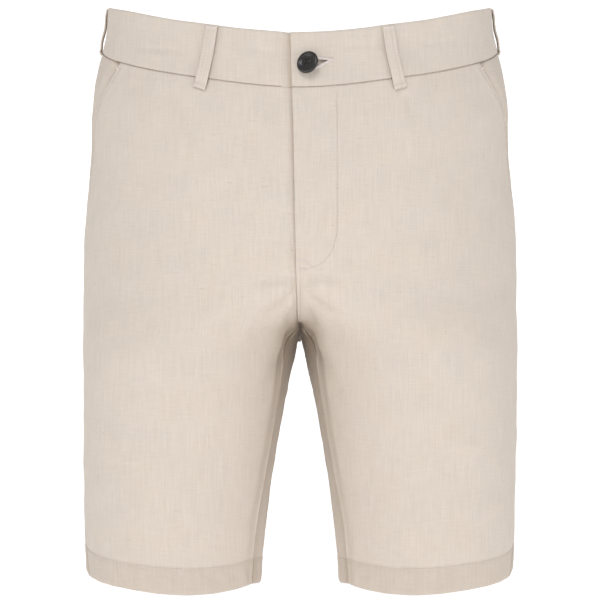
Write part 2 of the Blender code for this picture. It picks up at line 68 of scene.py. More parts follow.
# The form of the left half, as the solids have it: t runs round from the centre front or the
# inseam at 0, over the side at 0.5, to the centre back or the inseam at 1, and s runs down
# the rows of the tables, from the top of the waistband to the hem. All in millimetres.
STATIONS = (0, 1 / 6, 1 / 3, 1 / 2, 2 / 3, 5 / 6, 0.93, 1)
Heights = namedtuple("Heights", "row start fore thigh side hip seat under end")
HEIGHTS = (
    Heights("top edge", -36.2, -26.8, -10.3, 0, 3, -2.5, -8, -11),
    Heights("band middle", -59.3, -49.4, -32.3, -19.2, -17, -22.5, -28, -31),
    Heights("waist seam", -82.2, -72.1, -54.5, -38, -36.8, -42.5, -48, -50.5),
    Heights("pocket top", -98.5, -89.3, -73.3, -57.7, -56.3, -60, -64, -66),
    Heights("pocket middle", -120, -113, -99.8, -85.8, -83.4, -84.5, -85, -85),
    Heights("pocket end", -155, -151, -142, -131, -128, -127, -127, -127),
    Heights("upper hip", -186, -185, -180, -173, -170, -168, -168, -168),
    Heights("hip", -213, -214, -215, -214, -211, -209, -208, -208),
    Heights("fly end", -236, -240, -244, -245, -243, -241, -240, -239),
    Heights("upper rise", -254, -258, -262, -263, -263, -263, -263, -263),
    Heights("rise", -267, -271, -274, -276, -277, -280, -283, -282),
    Heights("lower rise", -274, -279, -283, -284, -287, -292, -296, -292),
    Heights("crotch", -277, -284, -288, -290, -293, -300, -304, -277),
    Heights("top of leg", -294, -301, -306, -308, -310, -315, -318, -294),
    Heights("thigh", -335, -337, -339, -340, -341, -343, -343, -335),
    Heights("middle thigh", -387, -386, -385, -384, -385, -387, -388, -387),
    Heights("lower thigh", -440, -439.5, -436, -432, -434.5, -440, -442, -440),
    Heights("hem stitch", -476, -478, -472.3, -466, -470, -477, -479.5, -476),
    Heights("hem edge", -497, -500.2, -494, -488, -492, -499, -501.5, -497),
)

# leg is 0 where the row is half of the trunk and 1 where it is a leg of its own, near the
# crotch seam. out and inner are the leg's reach in x; front and back the trunk's reach in y;
# thigh and rear the leg's. inseam is where the inseam lies, in degrees from the leg's side.
Shape = namedtuple("Shape", "row leg out inner front back thigh rear inseam")
SHAPES = (
    Shape("top edge", 0, 166, 3, -108, 108, -108, 108, 165),
    Shape("band middle", 0, 167.3, 3, -110.5, 110.5, -110, 110, 165),
    Shape("waist seam", 0, 171.6, 3, -114, 115, -113, 115, 165),
    Shape("pocket top", 0, 177, 3, -117, 121, -113, 121, 165),
    Shape("pocket middle", 0, 180.8, 3, -120, 129, -113, 129, 165),
    Shape("pocket end", 0, 182.6, 3, -122.5, 142, -113, 138, 165),
    Shape("upper hip", 0, 187, 3, -122.5, 150, -113, 140, 165),
    Shape("hip", 0.01, 189.3, 3, -121, 151.5, -115, 140, 165),
    Shape("fly end", 0.06, 189.4, 3, -120, 149, -115, 138, 165),
    Shape("upper rise", 0.17, 189.2, 3, -119.5, 146, -115, 135, 165),
    Shape("rise", 0.35, 189, 3, -119, 143, -115, 132, 165),
    Shape("lower rise", 0.6, 188.8, 3, -118, 140, -114.5, 129, 165),
    Shape("crotch", 1, 188.6, 4, -117, 137, -114, 125, 165),
    Shape("top of leg", 1, 188.3, 7.5, -116, 134, -112.5, 120, 159),
    Shape("thigh", 1, 188, 13, -113, 125, -108, 111, 157),
    Shape("middle thigh", 1, 187.6, 21.3, -108, 118, -102, 103, 156),
    Shape("lower thigh", 1, 186.9, 29, -104, 110, -96.5, 95, 152),
    Shape("hem stitch", 1, 185.9, 33, -100, 100, -92, 90, 151),
    Shape("hem edge", 1, 184.9, 34.3, -95, 95, -89.5, 87.5, 151),
)

# Rows of the tables by name, the rows over which the sides turn into legs, and how near the
# centre in t the cloth still follows the crotch seam. SQUARE is how squared a section is.
TOP, WAIST_SEAM, FLY_ROW, CROTCH_ROW, HEM_STITCH, HEM = 0, 2, 8, 12, 17, 18
LEG_FROM, LEG_TO = 4, 13
NEAR_SEAM, FAR_FROM_SEAM = 0.08, 0.23
FLY_CLOSE = 0.3
SQUARE = 2.3
SEAM_REACH, SEAM_GAP = 0.13, 0.3

# Where the side seam and the pocket's edge run.
Line = namedtuple("Line", "s t")
SIDE_SEAM = (
    Line(0, 0.452),
    Line(2, 0.452),
    Line(5.5, 0.436),
    Line(7, 0.46),
    Line(13, 0.468),
    Line(16, 0.445),
    Line(18, 0.405),
)
POCKET_EDGE = (Line(2, 0.325), Line(3, 0.347), Line(3.6, 0.372), Line(4.2, 0.4), Line(5.5, 0.436))

# How far the left side laps past the centre: at the top, at the end of the fly and at the
# row where the lap closes. Then the right side's underlap and the step down to it.
FLY_LAP_TOP, FLY_LAP_END, LAP_LOW, LAP_ENDS = 7.9, 2.9, 2.0, 11.4
UNDERLAP, LAP_STEP = 24, 7
BAND_PROUD = 0.5
# How far the pocket's side piece goes in under the front, and comes up level in; and how far
# in from the pocket's edge its stitching runs.
POCKET_HIDDEN, POCKET_RISE, POCKET_STITCHING = 16, 10, 6
FLY_PITCH = 1.9
WAIST_SEWN = 1.985
# Walls of the band and of the pocket's side piece, and the layers of cloth in a hem.
BAND_WALL, SIDE_WALL, HEM_LAYERS = 2.2, 1.0, 1.8
# Roughly how many millimetres one step of t or a degree is round the garment.
MM_PER_T, POCKET_MM_PER_T, MM_PER_DEGREE = 560, 520, 1.9
# The rows between which the trunk turns into the legs, and where the creases of the back take
# over from those of the front.
EASE_FROM, EASE_TO = 8.5, 14.6
BEHIND_FROM, BEHIND_OVER = 0.38, 0.16

# The creases of the cloth, in millimetres, looking at the front or the back with z up. Each
# runs from one end to the other, bowed sideways by its middle, as a soft trough or ridge.
Crease = namedtuple("Crease", "x0 z0 x1 z1 bow wide deep")
FRONT_CREASES = (
    # below the fly, out from the crotch seam
    Crease(-2, -240.5, -38, -242, -2, 3, -2.4),
    Crease(-3, -245.5, -40, -248, -2, 4, 1.1),
    Crease(1, -241, 34, -239, 2, 2.8, -2.2),
    Crease(3, -246, 38, -245, 2, 4, 1.0),
    Crease(-2, -243, -40, -272, 5, 3.4, -2.0),
    Crease(4, -249, 46, -272, -4, 3.4, -2.0),
    Crease(-4, -253, -34, -284, 4, 4.5, 1.2),
    Crease(6, -258, 36, -286, -4, 4.5, 1.2),
    Crease(-6, -256, -28, -322, 7, 6, -3.0),
    Crease(7, -258, 26, -320, -6, 6, -3.0),
    Crease(-20, -276, -46, -330, 6, 9, 1.7),
    Crease(22, -277, 46, -328, -6, 9, 1.7),
    Crease(-36, -258, -84, -304, 5, 8, -1.4),
    Crease(38, -260, 86, -300, -5, 8, -1.3),
    Crease(-50, -252, -104, -276, 5, 9, 0.8),
    Crease(54, -252, 108, -274, -5, 9, 0.8),
    Crease(-58, -274, -110, -304, 6, 9, -0.7),
    Crease(62, -272, 112, -302, -6, 9, -0.7),
    # beside the fly
    Crease(-57, -179, -41, -187, 1, 2.6, -0.5),
    Crease(-20, -184, -9, -187, 0.5, 2.2, -0.6),
    Crease(-30, -205, -10, -211, 1, 3, -0.45),
    Crease(-9, -83, -19, -93, 1, 3.4, -0.6),
    Crease(-46, -150, -38, -178, 2, 5, -0.45),
    Crease(44, -158, 50, -196, -2, 6, -0.4),
    Crease(38, -222, 62, -229, 1, 3, -0.4),
    # the waistband and just below it
    Crease(-134, -45, -90, -50, -1, 3, -0.7),
    Crease(-128, -50, -96, -54, -1, 3, 0.4),
    Crease(-43, -50, -12, -52, -1, 3, -0.6),
    Crease(33, -49, 82, -47, 1.5, 3, -0.6),
    Crease(100, -46, 138, -38, 1, 3, -0.6),
    Crease(-84, -84, -96, -104, 2, 5, -0.5),
    Crease(88, -86, 98, -110, -2, 5, -0.5),
    # from the pockets towards the middle
    Crease(-146, -76, -120, -92, 2, 5, -0.5),
    Crease(146, -80, 118, -98, -2, 5, -0.5),
    Crease(-150, -128, -128, -170, 3, 8, -0.7),
    Crease(152, -124, 130, -168, -3, 8, -0.7),
    # the thighs
    Crease(-166, -382, -128, -391, -1.5, 2.6, 0.7),
    Crease(-164, -387, -130, -396, -1.5, 3, -0.4),
    Crease(110, -383, 158, -374, 2, 2.6, 0.7),
    Crease(112, -388, 154, -380, 2, 3, -0.4),
    Crease(-79, -382, -61, -383, 0.5, 2.4, -0.5),
    Crease(-118, -246, -96, -300, 4, 12, -0.6),
    Crease(120, -240, 100, -296, -4, 12, -0.6),
    Crease(-136, -300, -126, -440, 5, 14, -0.9),
    Crease(-98, -330, -94, -470, -4, 13, 0.6),
    Crease(138, -310, 130, -446, -5, 14, -0.9),
    Crease(98, -336, 96, -472, 4, 13, 0.6),
    Crease(-60, -350, -62, -468, 3, 10, -0.6),
    Crease(60, -346, 64, -468, -3, 10, -0.6),
    Crease(-48, -452, -78, -464, 1, 4, -0.4),
    Crease(50, -448, 76, -462, -1, 4, -0.4),
    Crease(-150, -448, -160, -470, 1, 5, -0.4),
    Crease(152, -444, 162, -468, -1, 5, -0.4),
)
BACK_CREASES = (
    # below the seat, down and out from the crotch
    Crease(-6, -268, -66, -300, -7, 8, -1.8),
    Crease(6, -270, 62, -304, 7, 8, -1.7),
    Crease(-10, -282, -82, -322, -9, 9, 1.2),
    Crease(10, -284, 80, -326, 9, 9, 1.2),
    Crease(-14, -292, -76, -346, -8, 8, -1.5),
    Crease(14, -294, 72, -350, 8, 8, -1.4),
    Crease(-40, -262, -118, -282, -6, 9, -0.9),
    Crease(42, -264, 112, -286, 6, 9, -0.8),
    Crease(-4, -246, -36, -262, -2, 5, -0.9),
    Crease(4, -248, 38, -263, 2, 5, -0.8),
    Crease(-28, -316, -40, -372, 4, 8, -1.0),
    Crease(28, -318, 42, -368, -4, 8, -1.0),
    # across the hollow of the back, below the band
    Crease(-92, -70, -20, -80, 3, 6, -0.9),
    Crease(18, -76, 88, -68, 3, 6, -0.8),
    Crease(-70, -88, -14, -96, 2, 6, 0.5),
    Crease(14, -92, 76, -86, 2, 6, 0.5),
    Crease(-130, -64, -84, -60, -1, 4, -0.5),
    Crease(90, -58, 134, -64, -1, 4, -0.5),
    Crease(-60, -22, -16, -26, 1, 3, -0.6),
    Crease(14, -24, 66, -20, 1, 3, -0.6),
    Crease(-118, -12, -84, -15, 1, 3, -0.5),
    Crease(80, -14, 120, -10, 1, 3, -0.5),
    # the seat and the thighs
    Crease(-120, -150, -96, -238, 6, 14, -0.8),
    Crease(118, -146, 98, -236, -6, 14, -0.8),
    Crease(-60, -190, -48, -238, 4, 11, 0.6),
    Crease(58, -186, 50, -236, -4, 11, 0.6),
    Crease(-140, -300, -124, -452, 6, 15, -1.1),
    Crease(142, -306, 126, -448, -6, 15, -1.1),
    Crease(-104, -334, -96, -468, -5, 13, 0.8),
    Crease(104, -330, 98, -470, 5, 13, 0.8),
    Crease(-62, -372, -66, -474, 4, 10, -0.8),
    Crease(62, -366, 68, -472, -4, 10, -0.8),
    Crease(-150, -372, -112, -384, -2, 3, 0.6),
    Crease(112, -380, 150, -370, -2, 3, 0.6),
    Crease(-88, -414, -60, -422, 1, 4, -0.5),
    Crease(70, -404, 96, -412, 1, 4, -0.5),
)

# Slow swells of the whole cloth: how long each is, which way it runs, where it starts.
Swell = namedtuple("Swell", "long turn start high")
SWELLS = (
    Swell(61, 8, 0.3, 0.28),
    Swell(47, -17, 1.9, 0.22),
    Swell(83, 74, 4.1, 0.2),
    Swell(37, 52, 2.7, 0.14),
    Swell(29, -64, 5.2, 0.1),
    Swell(23, 21, 0.9, 0.08),
)

# The belt loops: where each starts and ends, how far it stands off, and its length as cut.
Loop = namedtuple("Loop", "name sign t_top t_low s_top s_low stand cut")
LOOPS = (
    Loop("belt_loop_front_left", 1, 0.138, 0.151, 0.02, 2.55, 2.2, 62),
    Loop("belt_loop_front_right", -1, 0.138, 0.151, 0.02, 2.55, 2.2, 62),
    Loop("belt_loop_side_left", 1, 0.505, 0.505, 0.06, 2.2, 2.4, 50),
    Loop("belt_loop_side_right", -1, 0.505, 0.505, 0.06, 2.2, 2.4, 50),
    Loop("belt_loop_back", 1, 0.9999, 0.9999, 0.02, 2.55, 2.2, 56),
)
LOOP_WIDE, LOOP_WALL = 10.5, 1.4
# Shares of the loop's half width and of its length.
LOOP_STITCHING, LOOP_TACK = 0.3, 0.05

# The curved row of stitches that holds the fly's facing, seen from the front.
FLY_STITCHING = (
    (30.3, -86),
    (30.4, -150),
    (30.2, -192),
    (29.6, -203),
    (27.6, -211),
    (24.7, -217.5),
    (20, -223.5),
    (15, -227),
    (10, -229),
    (4.5, -230.2),
    (-0.6, -229.6),
)

# The button's place seen from the front, how it is tipped, and how far it stands off the band.
BUTTON_X, BUTTON_Z = 6.8, -63.3
BUTTON_TURN, BUTTON_TILT = math.radians(28), 0.16
BUTTON_STAND = 5
EYE_TURN, EYE_REACH, EYE_RADIUS = math.radians(38), 0.002, 0.00105
# The buttonhole, spread open by the button and narrowing to its far end, and its slope.
HOLE_FROM, HOLE_WIDE_TO, HOLE_TO, HOLE_HIGH = 3.2, 10.5, 23.5, 7.4
HOLE_SLOPE = 0.22

Light = namedtuple("Light", "name place size power")
LIGHTS = (
    Light("key", (-0.3, -2.0, 1.3), 1.1, 20),
    Light("left", (-1.9, -1.2, -0.1), 1.2, 4),
    Light("right", (1.9, -1.2, -0.1), 1.2, 6.5),
)

# What is made once and used again: the model of a stitch, and the sheets by name.
STITCH = []
SHEETS = {}


# ---------------------------------------------------------------- the form of the garment


def smooth_step(x):
    x = np.clip(x, 0, 1)
    return x * x * (3 - 2 * x)


def bell(x, wide):
    """1 at 0, falling away softly to either side."""
    return np.exp(-((x / wide) ** 2))


def arc_along(points):
    """How far along a line each of its points lies."""
    return np.concatenate([[0], np.cumsum(np.linalg.norm(np.diff(points, axis=0), axis=1))])


def found_at(at, arc, rows):
    """Points or directions at distances along a line, between those it has."""
    return np.stack([np.interp(at, arc, rows[:, i]) for i in range(3)], axis=1)


def slopes(places, values):
    """The slope of a smooth curve at each of its points, from the points on either side."""
    secants = np.diff(values, axis=-1) / np.diff(places)
    inner = (secants[..., 1:] + secants[..., :-1]) / 2
    return np.concatenate([secants[..., :1], inner, secants[..., -1:]], axis=-1)


def along(places, values, tangents, at):
    """The cubic through the points with those slopes, at each place asked for."""
    i = np.clip(np.searchsorted(places, at, side="right") - 1, 0, len(places) - 2)
    rows = np.arange(len(at))
    wide = places[i + 1] - places[i]
    u = (at - places[i]) / wide
    low, high = values[rows, i], values[rows, i + 1]
    rise_low, rise_high = tangents[rows, i] * wide, tangents[rows, i + 1] * wide
    return (
        (1 + 2 * u) * (1 - u) ** 2 * low
        + u * (1 - u) ** 2 * rise_low
        + u**2 * (3 - 2 * u) * high
        - u**2 * (1 - u) * rise_high
    )


def curve_through(places, values, at):
    """A smooth curve through a few points, at each place asked for."""
    places, values = np.asarray(places, float), np.asarray(values, float)
    shape = (len(at), len(values))
    tangents = np.broadcast_to(slopes(places, values), shape)
    return along(places, np.broadcast_to(values, shape), tangents, at)


def column(values, s):
    return curve_through(range(len(values)), values, s)


def line_at(line, s):
    """t of a line of the tables at each s."""
    places = [row.s for row in line]
    return curve_through(places, [row.t for row in line], np.clip(s, places[0], places[-1]))


def rounded(turn):
    """The cosine and sine of a squared circle, at an angle from its side towards the back."""
    reach = (np.abs(np.cos(turn)) ** SQUARE + np.abs(np.sin(turn)) ** SQUARE) ** (-1 / SQUARE)
    return reach * np.cos(turn), reach * np.sin(turn)


def row_curve(t, s, shape):
    """x and y of a row at t, before the crotch seam pulls its ends."""
    inseam = np.radians(shape["inseam"])
    across, deep = rounded(np.where(t < 0.5, inseam, 2 * math.pi - inseam) * (2 * t - 1))
    half_width = (shape["out"] - shape["inner"]) / 2
    leg_x = shape["inner"] + half_width * (1 + across)
    leg_y = (shape["thigh"] + shape["rear"]) / 2 + (shape["rear"] - shape["thigh"]) / 2 * deep
    seam_x = shape["inner"] + half_width * (1 + rounded(inseam)[0])
    as_trunk, _ = rounded(math.pi * (t - 0.5))
    as_leg = np.clip((leg_x - seam_x) / (shape["out"] - seam_x), 0, 1)
    across = as_trunk + (as_leg - as_trunk) * smooth_step((s - LEG_FROM) / (FLY_ROW - LEG_FROM))
    across = np.clip(across, 0, 1)
    deep = np.sign(t - 0.5) * (1 - across**SQUARE) ** (1 / SQUARE)
    trunk_x = shape["out"] * across
    trunk_y = (shape["front"] + shape["back"]) / 2 + (shape["back"] - shape["front"]) / 2 * deep
    from_seam = np.minimum(t, (1 - t) * shape["inseam"] / (360 - shape["inseam"]))
    far = smooth_step((from_seam - NEAR_SEAM) / (FAR_FROM_SEAM - NEAR_SEAM))
    at_side = smooth_step((s - LEG_FROM) / (LEG_TO - LEG_FROM))
    leg = shape["leg"] + (at_side - shape["leg"]) * far
    return trunk_x + leg * (leg_x - trunk_x), trunk_y + leg * (leg_y - trunk_y)


def form(t, s):
    """Points of the left half, in millimetres. A t below 0 goes on past the centre front."""
    t, s = (np.asarray(a, float).ravel() for a in np.broadcast_arrays(t, s))
    side, t = np.sign(t + 1e-12), np.abs(t)
    s = np.clip(s, TOP, HEM)
    shape = {name: column([getattr(row, name) for row in SHAPES], s) for name in Shape._fields[1:]}
    shape["leg"] = np.clip(shape["leg"], 0, 1)
    x, y = row_curve(t, s, shape)
    x_start, _ = row_curve(np.zeros_like(t), s, shape)
    x_end, _ = row_curve(np.ones_like(t), s, shape)
    hold = smooth_step(CROTCH_ROW + 1 - s)
    apart = SEAM_GAP / 2 * smooth_step(s - FLY_ROW + 1)
    apart_behind = apart * (1 + 2 * smooth_step((s - FLY_ROW) / 2))
    x = x + (apart - x_start) * hold * np.clip(1 - t / SEAM_REACH, 0, 1) ** 2
    x = x + (apart_behind - x_end) * hold * np.clip(1 - (1 - t) / SEAM_REACH, 0, 1) ** 2
    stations = np.array(STATIONS)
    levels = np.stack([column(values, s) for values in zip(*(row[1:] for row in HEIGHTS))], axis=1)
    tilt = slopes(stations, levels)
    tilt[:, 0] *= shape["leg"]
    tilt[:, -1] *= shape["leg"]
    z = along(stations, levels, tilt, t)
    return np.stack([x * side, y, z], axis=1)


def normals_at(t, s):
    """The form's outward normals."""
    dt, ds = 0.002, 0.01
    across = form(np.minimum(t + dt, 1), s) - form(t - dt, s)
    down = form(t, np.clip(s + ds, TOP, HEM)) - form(t, np.clip(s - ds, TOP, HEM))
    normal = np.cross(across, -down)
    return normal / np.linalg.norm(normal, axis=1)[:, None]


def creases(table, x, z):
    """How far a table of creases moves the cloth out, at places seen from the front or back."""
    total = np.zeros_like(x)
    for crease in table:
        run = np.array([crease.x1 - crease.x0, crease.z1 - crease.z0], float)
        length = np.linalg.norm(run)
        run /= length
        u = ((x - crease.x0) * run[0] + (z - crease.z0) * run[1]) / length
        off = (x - crease.x0) * -run[1] + (z - crease.z0) * run[0]
        off = off - crease.bow * 4 * np.clip(u, 0, 1) * (1 - np.clip(u, 0, 1))
        wide = crease.wide * (0.75 + 0.5 * np.clip(u, 0, 1))
        ends = smooth_step(u / 0.3 + 0.25) * smooth_step((1 - u) / 0.45 + 0.1)
        total += crease.deep * bell(off, wide) * ends
    return total


def relief(sign, t, s):
    """How far the cloth stands out from its form, from its creases and its slow swells."""
    p = form(t, s)
    x, y, z = p[:, 0] * sign, p[:, 1], p[:, 2]
    behind = smooth_step((t - BEHIND_FROM) / BEHIND_OVER)
    total = creases(FRONT_CREASES, x, z) * (1 - behind) + creases(BACK_CREASES, x, z) * behind
    round_body = np.degrees(np.arctan2(y, np.abs(x))) * MM_PER_DEGREE * np.sign(x + 1e-9)
    for swell in SWELLS:
        turn = math.radians(swell.turn)
        phase = (round_body * math.cos(turn) + z * math.sin(turn)) / swell.long * 2 * math.pi
        total += swell.high * np.sin(phase + swell.start + 0.7 * np.sin(z / 57))
    return total


def t_round(distance, s):
    """t that many millimetres round from the centre front at each s; negative goes past it."""
    rows, first, back = np.unique(s, return_index=True, return_inverse=True)
    distance = np.broadcast_to(distance, s.shape)[first]
    steps = np.linspace(0, 0.3, 121)
    points = form(np.tile(steps, len(rows)), np.repeat(rows, len(steps)))
    lengths = np.linalg.norm(np.diff(points.reshape(len(rows), -1, 3), axis=1), axis=2)
    arcs = np.concatenate([np.zeros((len(rows), 1)), np.cumsum(lengths, axis=1)], axis=1)
    found = [np.sign(d) * np.interp(abs(d), arc, steps) for d, arc in zip(distance, arcs)]
    return np.array(found)[back]


def arc_as_t(distance, t, s):
    """Millimetres along a row, as a change of t."""
    step = 0.001
    return distance * step / np.linalg.norm(form(t + step, s) - form(t, s), axis=1)


def lap_nominal(s):
    """How far the left side laps past the centre, narrowing down to the crotch."""
    down = np.clip((s - TOP) / (FLY_ROW - TOP), 0, 1)
    below = np.clip((s - FLY_ROW) / (LAP_ENDS - FLY_ROW), 0, 1)
    return FLY_LAP_TOP + (FLY_LAP_END - FLY_LAP_TOP) * down + (LAP_LOW - FLY_LAP_END) * below


def fly_lap(s):
    """The same, closed just above the crotch."""
    return lap_nominal(s) * np.clip((LAP_ENDS + FLY_CLOSE - s) / FLY_CLOSE, 0, 1)


def drop_of_right(depth, t, s):
    """How far the right side is set in where the left side laps over it."""
    begin = t_round(lap_nominal(s) + LAP_STEP, s)
    full = t_round(lap_nominal(s) + 1.5, s)
    share = smooth_step((begin - t) / (begin - full))
    return -depth * share * np.clip((LAP_ENDS + 2 * FLY_CLOSE - s) / FLY_CLOSE, 0, 1)


def front_edge(s):
    """t of the front's outer edge: the pocket's edge, and below that the side seam."""
    gap = arc_as_t(SEAM_GAP / 2, np.full_like(s, 0.4), s)
    seam = line_at(SIDE_SEAM, s) - gap
    return np.where(s < POCKET_EDGE[-1].s, np.minimum(line_at(POCKET_EDGE, s), seam), seam)


def spaced(length, fine, coarse, reach=14):
    """Places from 0 to length, close together near both ends and wider apart between."""
    places = [0.0]
    while places[-1] < length / 2:
        places.append(places[-1] + fine + (coarse - fine) * min(1, places[-1] / reach))
    half = np.array(places) / places[-1] * length / 2
    return np.concatenate([half, length - half[-2::-1]])


def rows_down(first, last, t, fine, coarse):
    """s of the rows of a sheet, spaced in millimetres down the line at t."""
    s = np.linspace(first, last, 400)
    arc = arc_along(form(np.full_like(s, t), s))
    return np.interp(spaced(arc[-1], fine, coarse), arc, s)


# ---------------------------------------------------------------- sheets of cloth


class Sheet:
    """A sheet of cloth on the form: its grid of places, and the points and normals there."""

    def __init__(self, name, sign, s, t_from, t_to, pitch, lift, edges, sewn):
        self.name, self.sign, self.s = name, sign, s
        fine, coarse = pitch
        mid = len(s) // 2
        width = self.row_length(s[mid], t_from[mid], t_to[mid])
        self.share = spaced(width, fine, coarse) / width
        self.t = t_from[:, None] + (t_to - t_from)[:, None] * self.share[None, :]
        t, down = self.t.ravel(), np.repeat(s, len(self.share))
        base = form(t, down)
        normal = normals_at(t, down)
        out = relief(sign, t, down) + lift(t, down)
        shape = self.t.shape
        grid = base.reshape(*shape, 3)
        self.round = self.arcs(grid, 1)
        self.down = self.arcs(grid, 0)
        base = self.eased(grid).reshape(-1, 3)
        normal = self.eased(normal.reshape(*shape, 3)).reshape(-1, 3)
        normal /= np.linalg.norm(normal, axis=1)[:, None]
        self.edge_distances = (
            self.round,
            self.round[:, -1:] - self.round,
            self.down,
            self.down[-1:, :] - self.down,
        )
        out = out.reshape(shape) + self.seam_relief(edges)
        points = base + normal * out.reshape(-1, 1)
        points[:, 0] *= sign
        normal[:, 0] *= sign
        self.points = points.reshape(*shape, 3)
        self.normals = self.surface_normals()
        self.uv = self.pattern(grid)
        self.shade = self.seam_shade(edges, sewn)

    def eased(self, grid):
        """Takes the ledge out of the rows where the trunk turns into the legs."""
        rows = smooth_step((self.s - EASE_FROM) / 1.2) * smooth_step((EASE_TO - self.s) / 1.2)
        inside = np.minimum(self.round, self.round[:, -1:] - self.round)
        share = 0.5 * rows[:, None] * smooth_step((inside - 3) / 22)
        grid = grid.copy()
        for _ in range(60):
            middle = (grid[:-2] + grid[2:]) / 2
            grid[1:-1] += (middle - grid[1:-1]) * share[1:-1, :, None]
        return grid

    def pattern(self, grid):
        """Where each point lies on the flat cloth, with the grain straight down the leg."""
        middle = (self.t[len(self.s) // 2, 0] + self.t[len(self.s) // 2, -1]) / 2
        behind = middle > 0.5
        at = np.full(len(self.s), 0.8 if behind else 0.2)
        at = np.clip(at, self.t[:, 0], self.t[:, -1])
        arc = np.array([np.interp(*row) for row in zip(at, self.t, self.round)])
        start = form(at, self.s)[:, 0] * (-1 if behind else 1)
        across = self.round - arc[:, None] + start[:, None]
        return np.stack([across * self.sign, grid[:, :, 2]], -1)

    @staticmethod
    def row_length(s, t_from, t_to):
        t = np.linspace(t_from, t_to, 60)
        return np.linalg.norm(np.diff(form(t, np.full_like(t, s)), axis=0), axis=1).sum()

    @staticmethod
    def arcs(grid, axis):
        steps = np.linalg.norm(np.diff(grid, axis=axis), axis=2)
        zero = np.zeros_like(np.take(steps, [0], axis=axis))
        return np.concatenate([zero, np.cumsum(steps, axis=axis)], axis=axis)

    def seam_relief(self, edges):
        """The cloth rolls in at a sewn edge, swells over the allowance and puckers beside it."""
        total = np.zeros_like(self.round)
        along_edge = (self.down, self.down, self.round, self.round)
        for share, d, run in zip(edges, self.edge_distances, along_edge):
            if not np.any(share):
                continue
            total -= share * 0.7 * bell(d, 1.1)
            total += share * 0.28 * smooth_step((12 - d) / 3) * smooth_step(d / 2)
            pucker = np.sin(run / 4.1 + 1.3 * np.sin(run / 17)) + 0.6 * np.sin(run / 2.3 + 2)
            total += share * 0.13 * pucker * np.exp(-d / 5) * smooth_step(d / 1.5)
        return total

    def seam_shade(self, edges, sewn):
        """1 on open cloth, with painted shade in the groove of a sewn seam and a painted highlight
        along a folded edge.
        """
        shade = np.ones_like(self.round)
        for share, seam, d in zip(edges, sewn, self.edge_distances):
            groove = 0.13 * share * bell(d, 1.3)
            fold = 0.05 * share * bell(d, 0.8)
            shade += fold - (groove + fold) * seam
        return shade

    def darken(self, change):
        """Adds to the painted shade and highlights at each place a function of t and s, such as a
        darker hem.
        """
        t, down = self.t.ravel(), np.repeat(self.s, self.t.shape[1])
        self.shade = self.shade + change(t, down).reshape(self.t.shape)
        return self

    def surface_normals(self):
        across = np.gradient(self.points, axis=1)
        down = np.gradient(self.points, axis=0)
        normal = np.cross(across, -down) * self.sign
        return normal / np.maximum(np.linalg.norm(normal, axis=2), 1e-9)[..., None]

    def at(self, t, s):
        """Points and normals of the finished sheet at places given by t and s."""
        s = np.asarray(s, float)
        t = np.broadcast_to(t, s.shape)
        row = np.interp(s, self.s, np.arange(len(self.s)))
        i = np.minimum(row.astype(int), len(self.s) - 2)
        down = (row - i)[:, None]
        starts, ends = (np.interp(s, self.s, self.t[:, i]) for i in (0, -1))
        col = np.interp((t - starts) / (ends - starts), self.share, np.arange(len(self.share)))
        j = np.minimum(col.astype(int), len(self.share) - 2)
        across = (col - j)[:, None]
        both = np.concatenate([self.points, self.normals], axis=2)
        top = both[i, j] * (1 - across) + both[i, j + 1] * across
        low = both[i + 1, j] * (1 - across) + both[i + 1, j + 1] * across
        found = top * (1 - down) + low * down
        normals = found[:, 3:] / np.linalg.norm(found[:, 3:], axis=1)[:, None]
        return found[:, :3], normals

    def to_object(self, wall, hem_wall=None, hole=None):
        """The sheet as an object, thicker at the hem and open at a hole where it has them."""
        faces = grid_faces(*self.t.shape)
        if self.sign < 0:
            faces = faces[:, ::-1]
        if hole is not None:
            faces = faces[~hole(self.points.reshape(-1, 3)[faces].mean(axis=1))]
        hem = None
        if hem_wall is not None:
            below = np.repeat(self.s >= HEM_STITCH, self.t.shape[1])
            hem = (np.flatnonzero(below).tolist(), hem_wall)
        return cloth_object(self.name, self.points, faces, self.uv, self.shade, wall, hem)


def grid_faces(rows, columns):
    """The four corners of each face of a grid of points."""
    index = np.arange(rows * columns).reshape(rows, columns)
    faces = np.stack([index[:-1, :-1], index[1:, :-1], index[1:, 1:], index[:-1, 1:]], -1)
    return faces.reshape(-1, 4)


def cloth_object(name, points, faces, uv, shade, wall, hem=None):
    """A sheet as an object: its wall goes inwards, and its pattern is laid out in metres.

    hem is the indices of the points whose wall is thicker, and that wall.
    """
    mesh = bpy.data.meshes.new(name)
    mesh.from_pydata((points.reshape(-1, 3) * MM).tolist(), [], faces.tolist())
    pattern = mesh.uv_layers.new(name="cloth")
    pattern.data.foreach_set("uv", (uv.reshape(-1, 2)[faces.ravel()] * MM).ravel())
    # The painted shade and highlights at each point, by which the linen multiplies its colour.
    tones = mesh.attributes.new("shade", "FLOAT", "POINT")
    tones.data.foreach_set("value", shade.ravel())
    obj = link(name, mesh)
    solidify = obj.modifiers.new("Wall", "SOLIDIFY")
    solidify.thickness = wall * MM
    solidify.offset = -1
    if hem is not None:
        indices, hem_wall = hem
        solidify.thickness = hem_wall * MM
        group = obj.vertex_groups.new(name="turned_up")
        group.add(indices, 1.0, "REPLACE")
        solidify.vertex_group = group.name
        solidify.thickness_vertex_group = wall / hem_wall
    apply_modifiers(obj)
    obj.data.shade_smooth()
    return obj


def link(name, mesh):
    obj = bpy.data.objects.new(name, mesh)
    bpy.context.scene.collection.objects.link(obj)
    return obj


def only(obj):
    """Makes obj the active object and the only selected one."""
    bpy.ops.object.select_all(action="DESELECT")
    obj.select_set(True)
    bpy.context.view_layer.objects.active = obj


def apply_modifiers(obj):
    only(obj)
    for modifier in list(obj.modifiers):
        bpy.ops.object.modifier_apply(modifier=modifier.name)


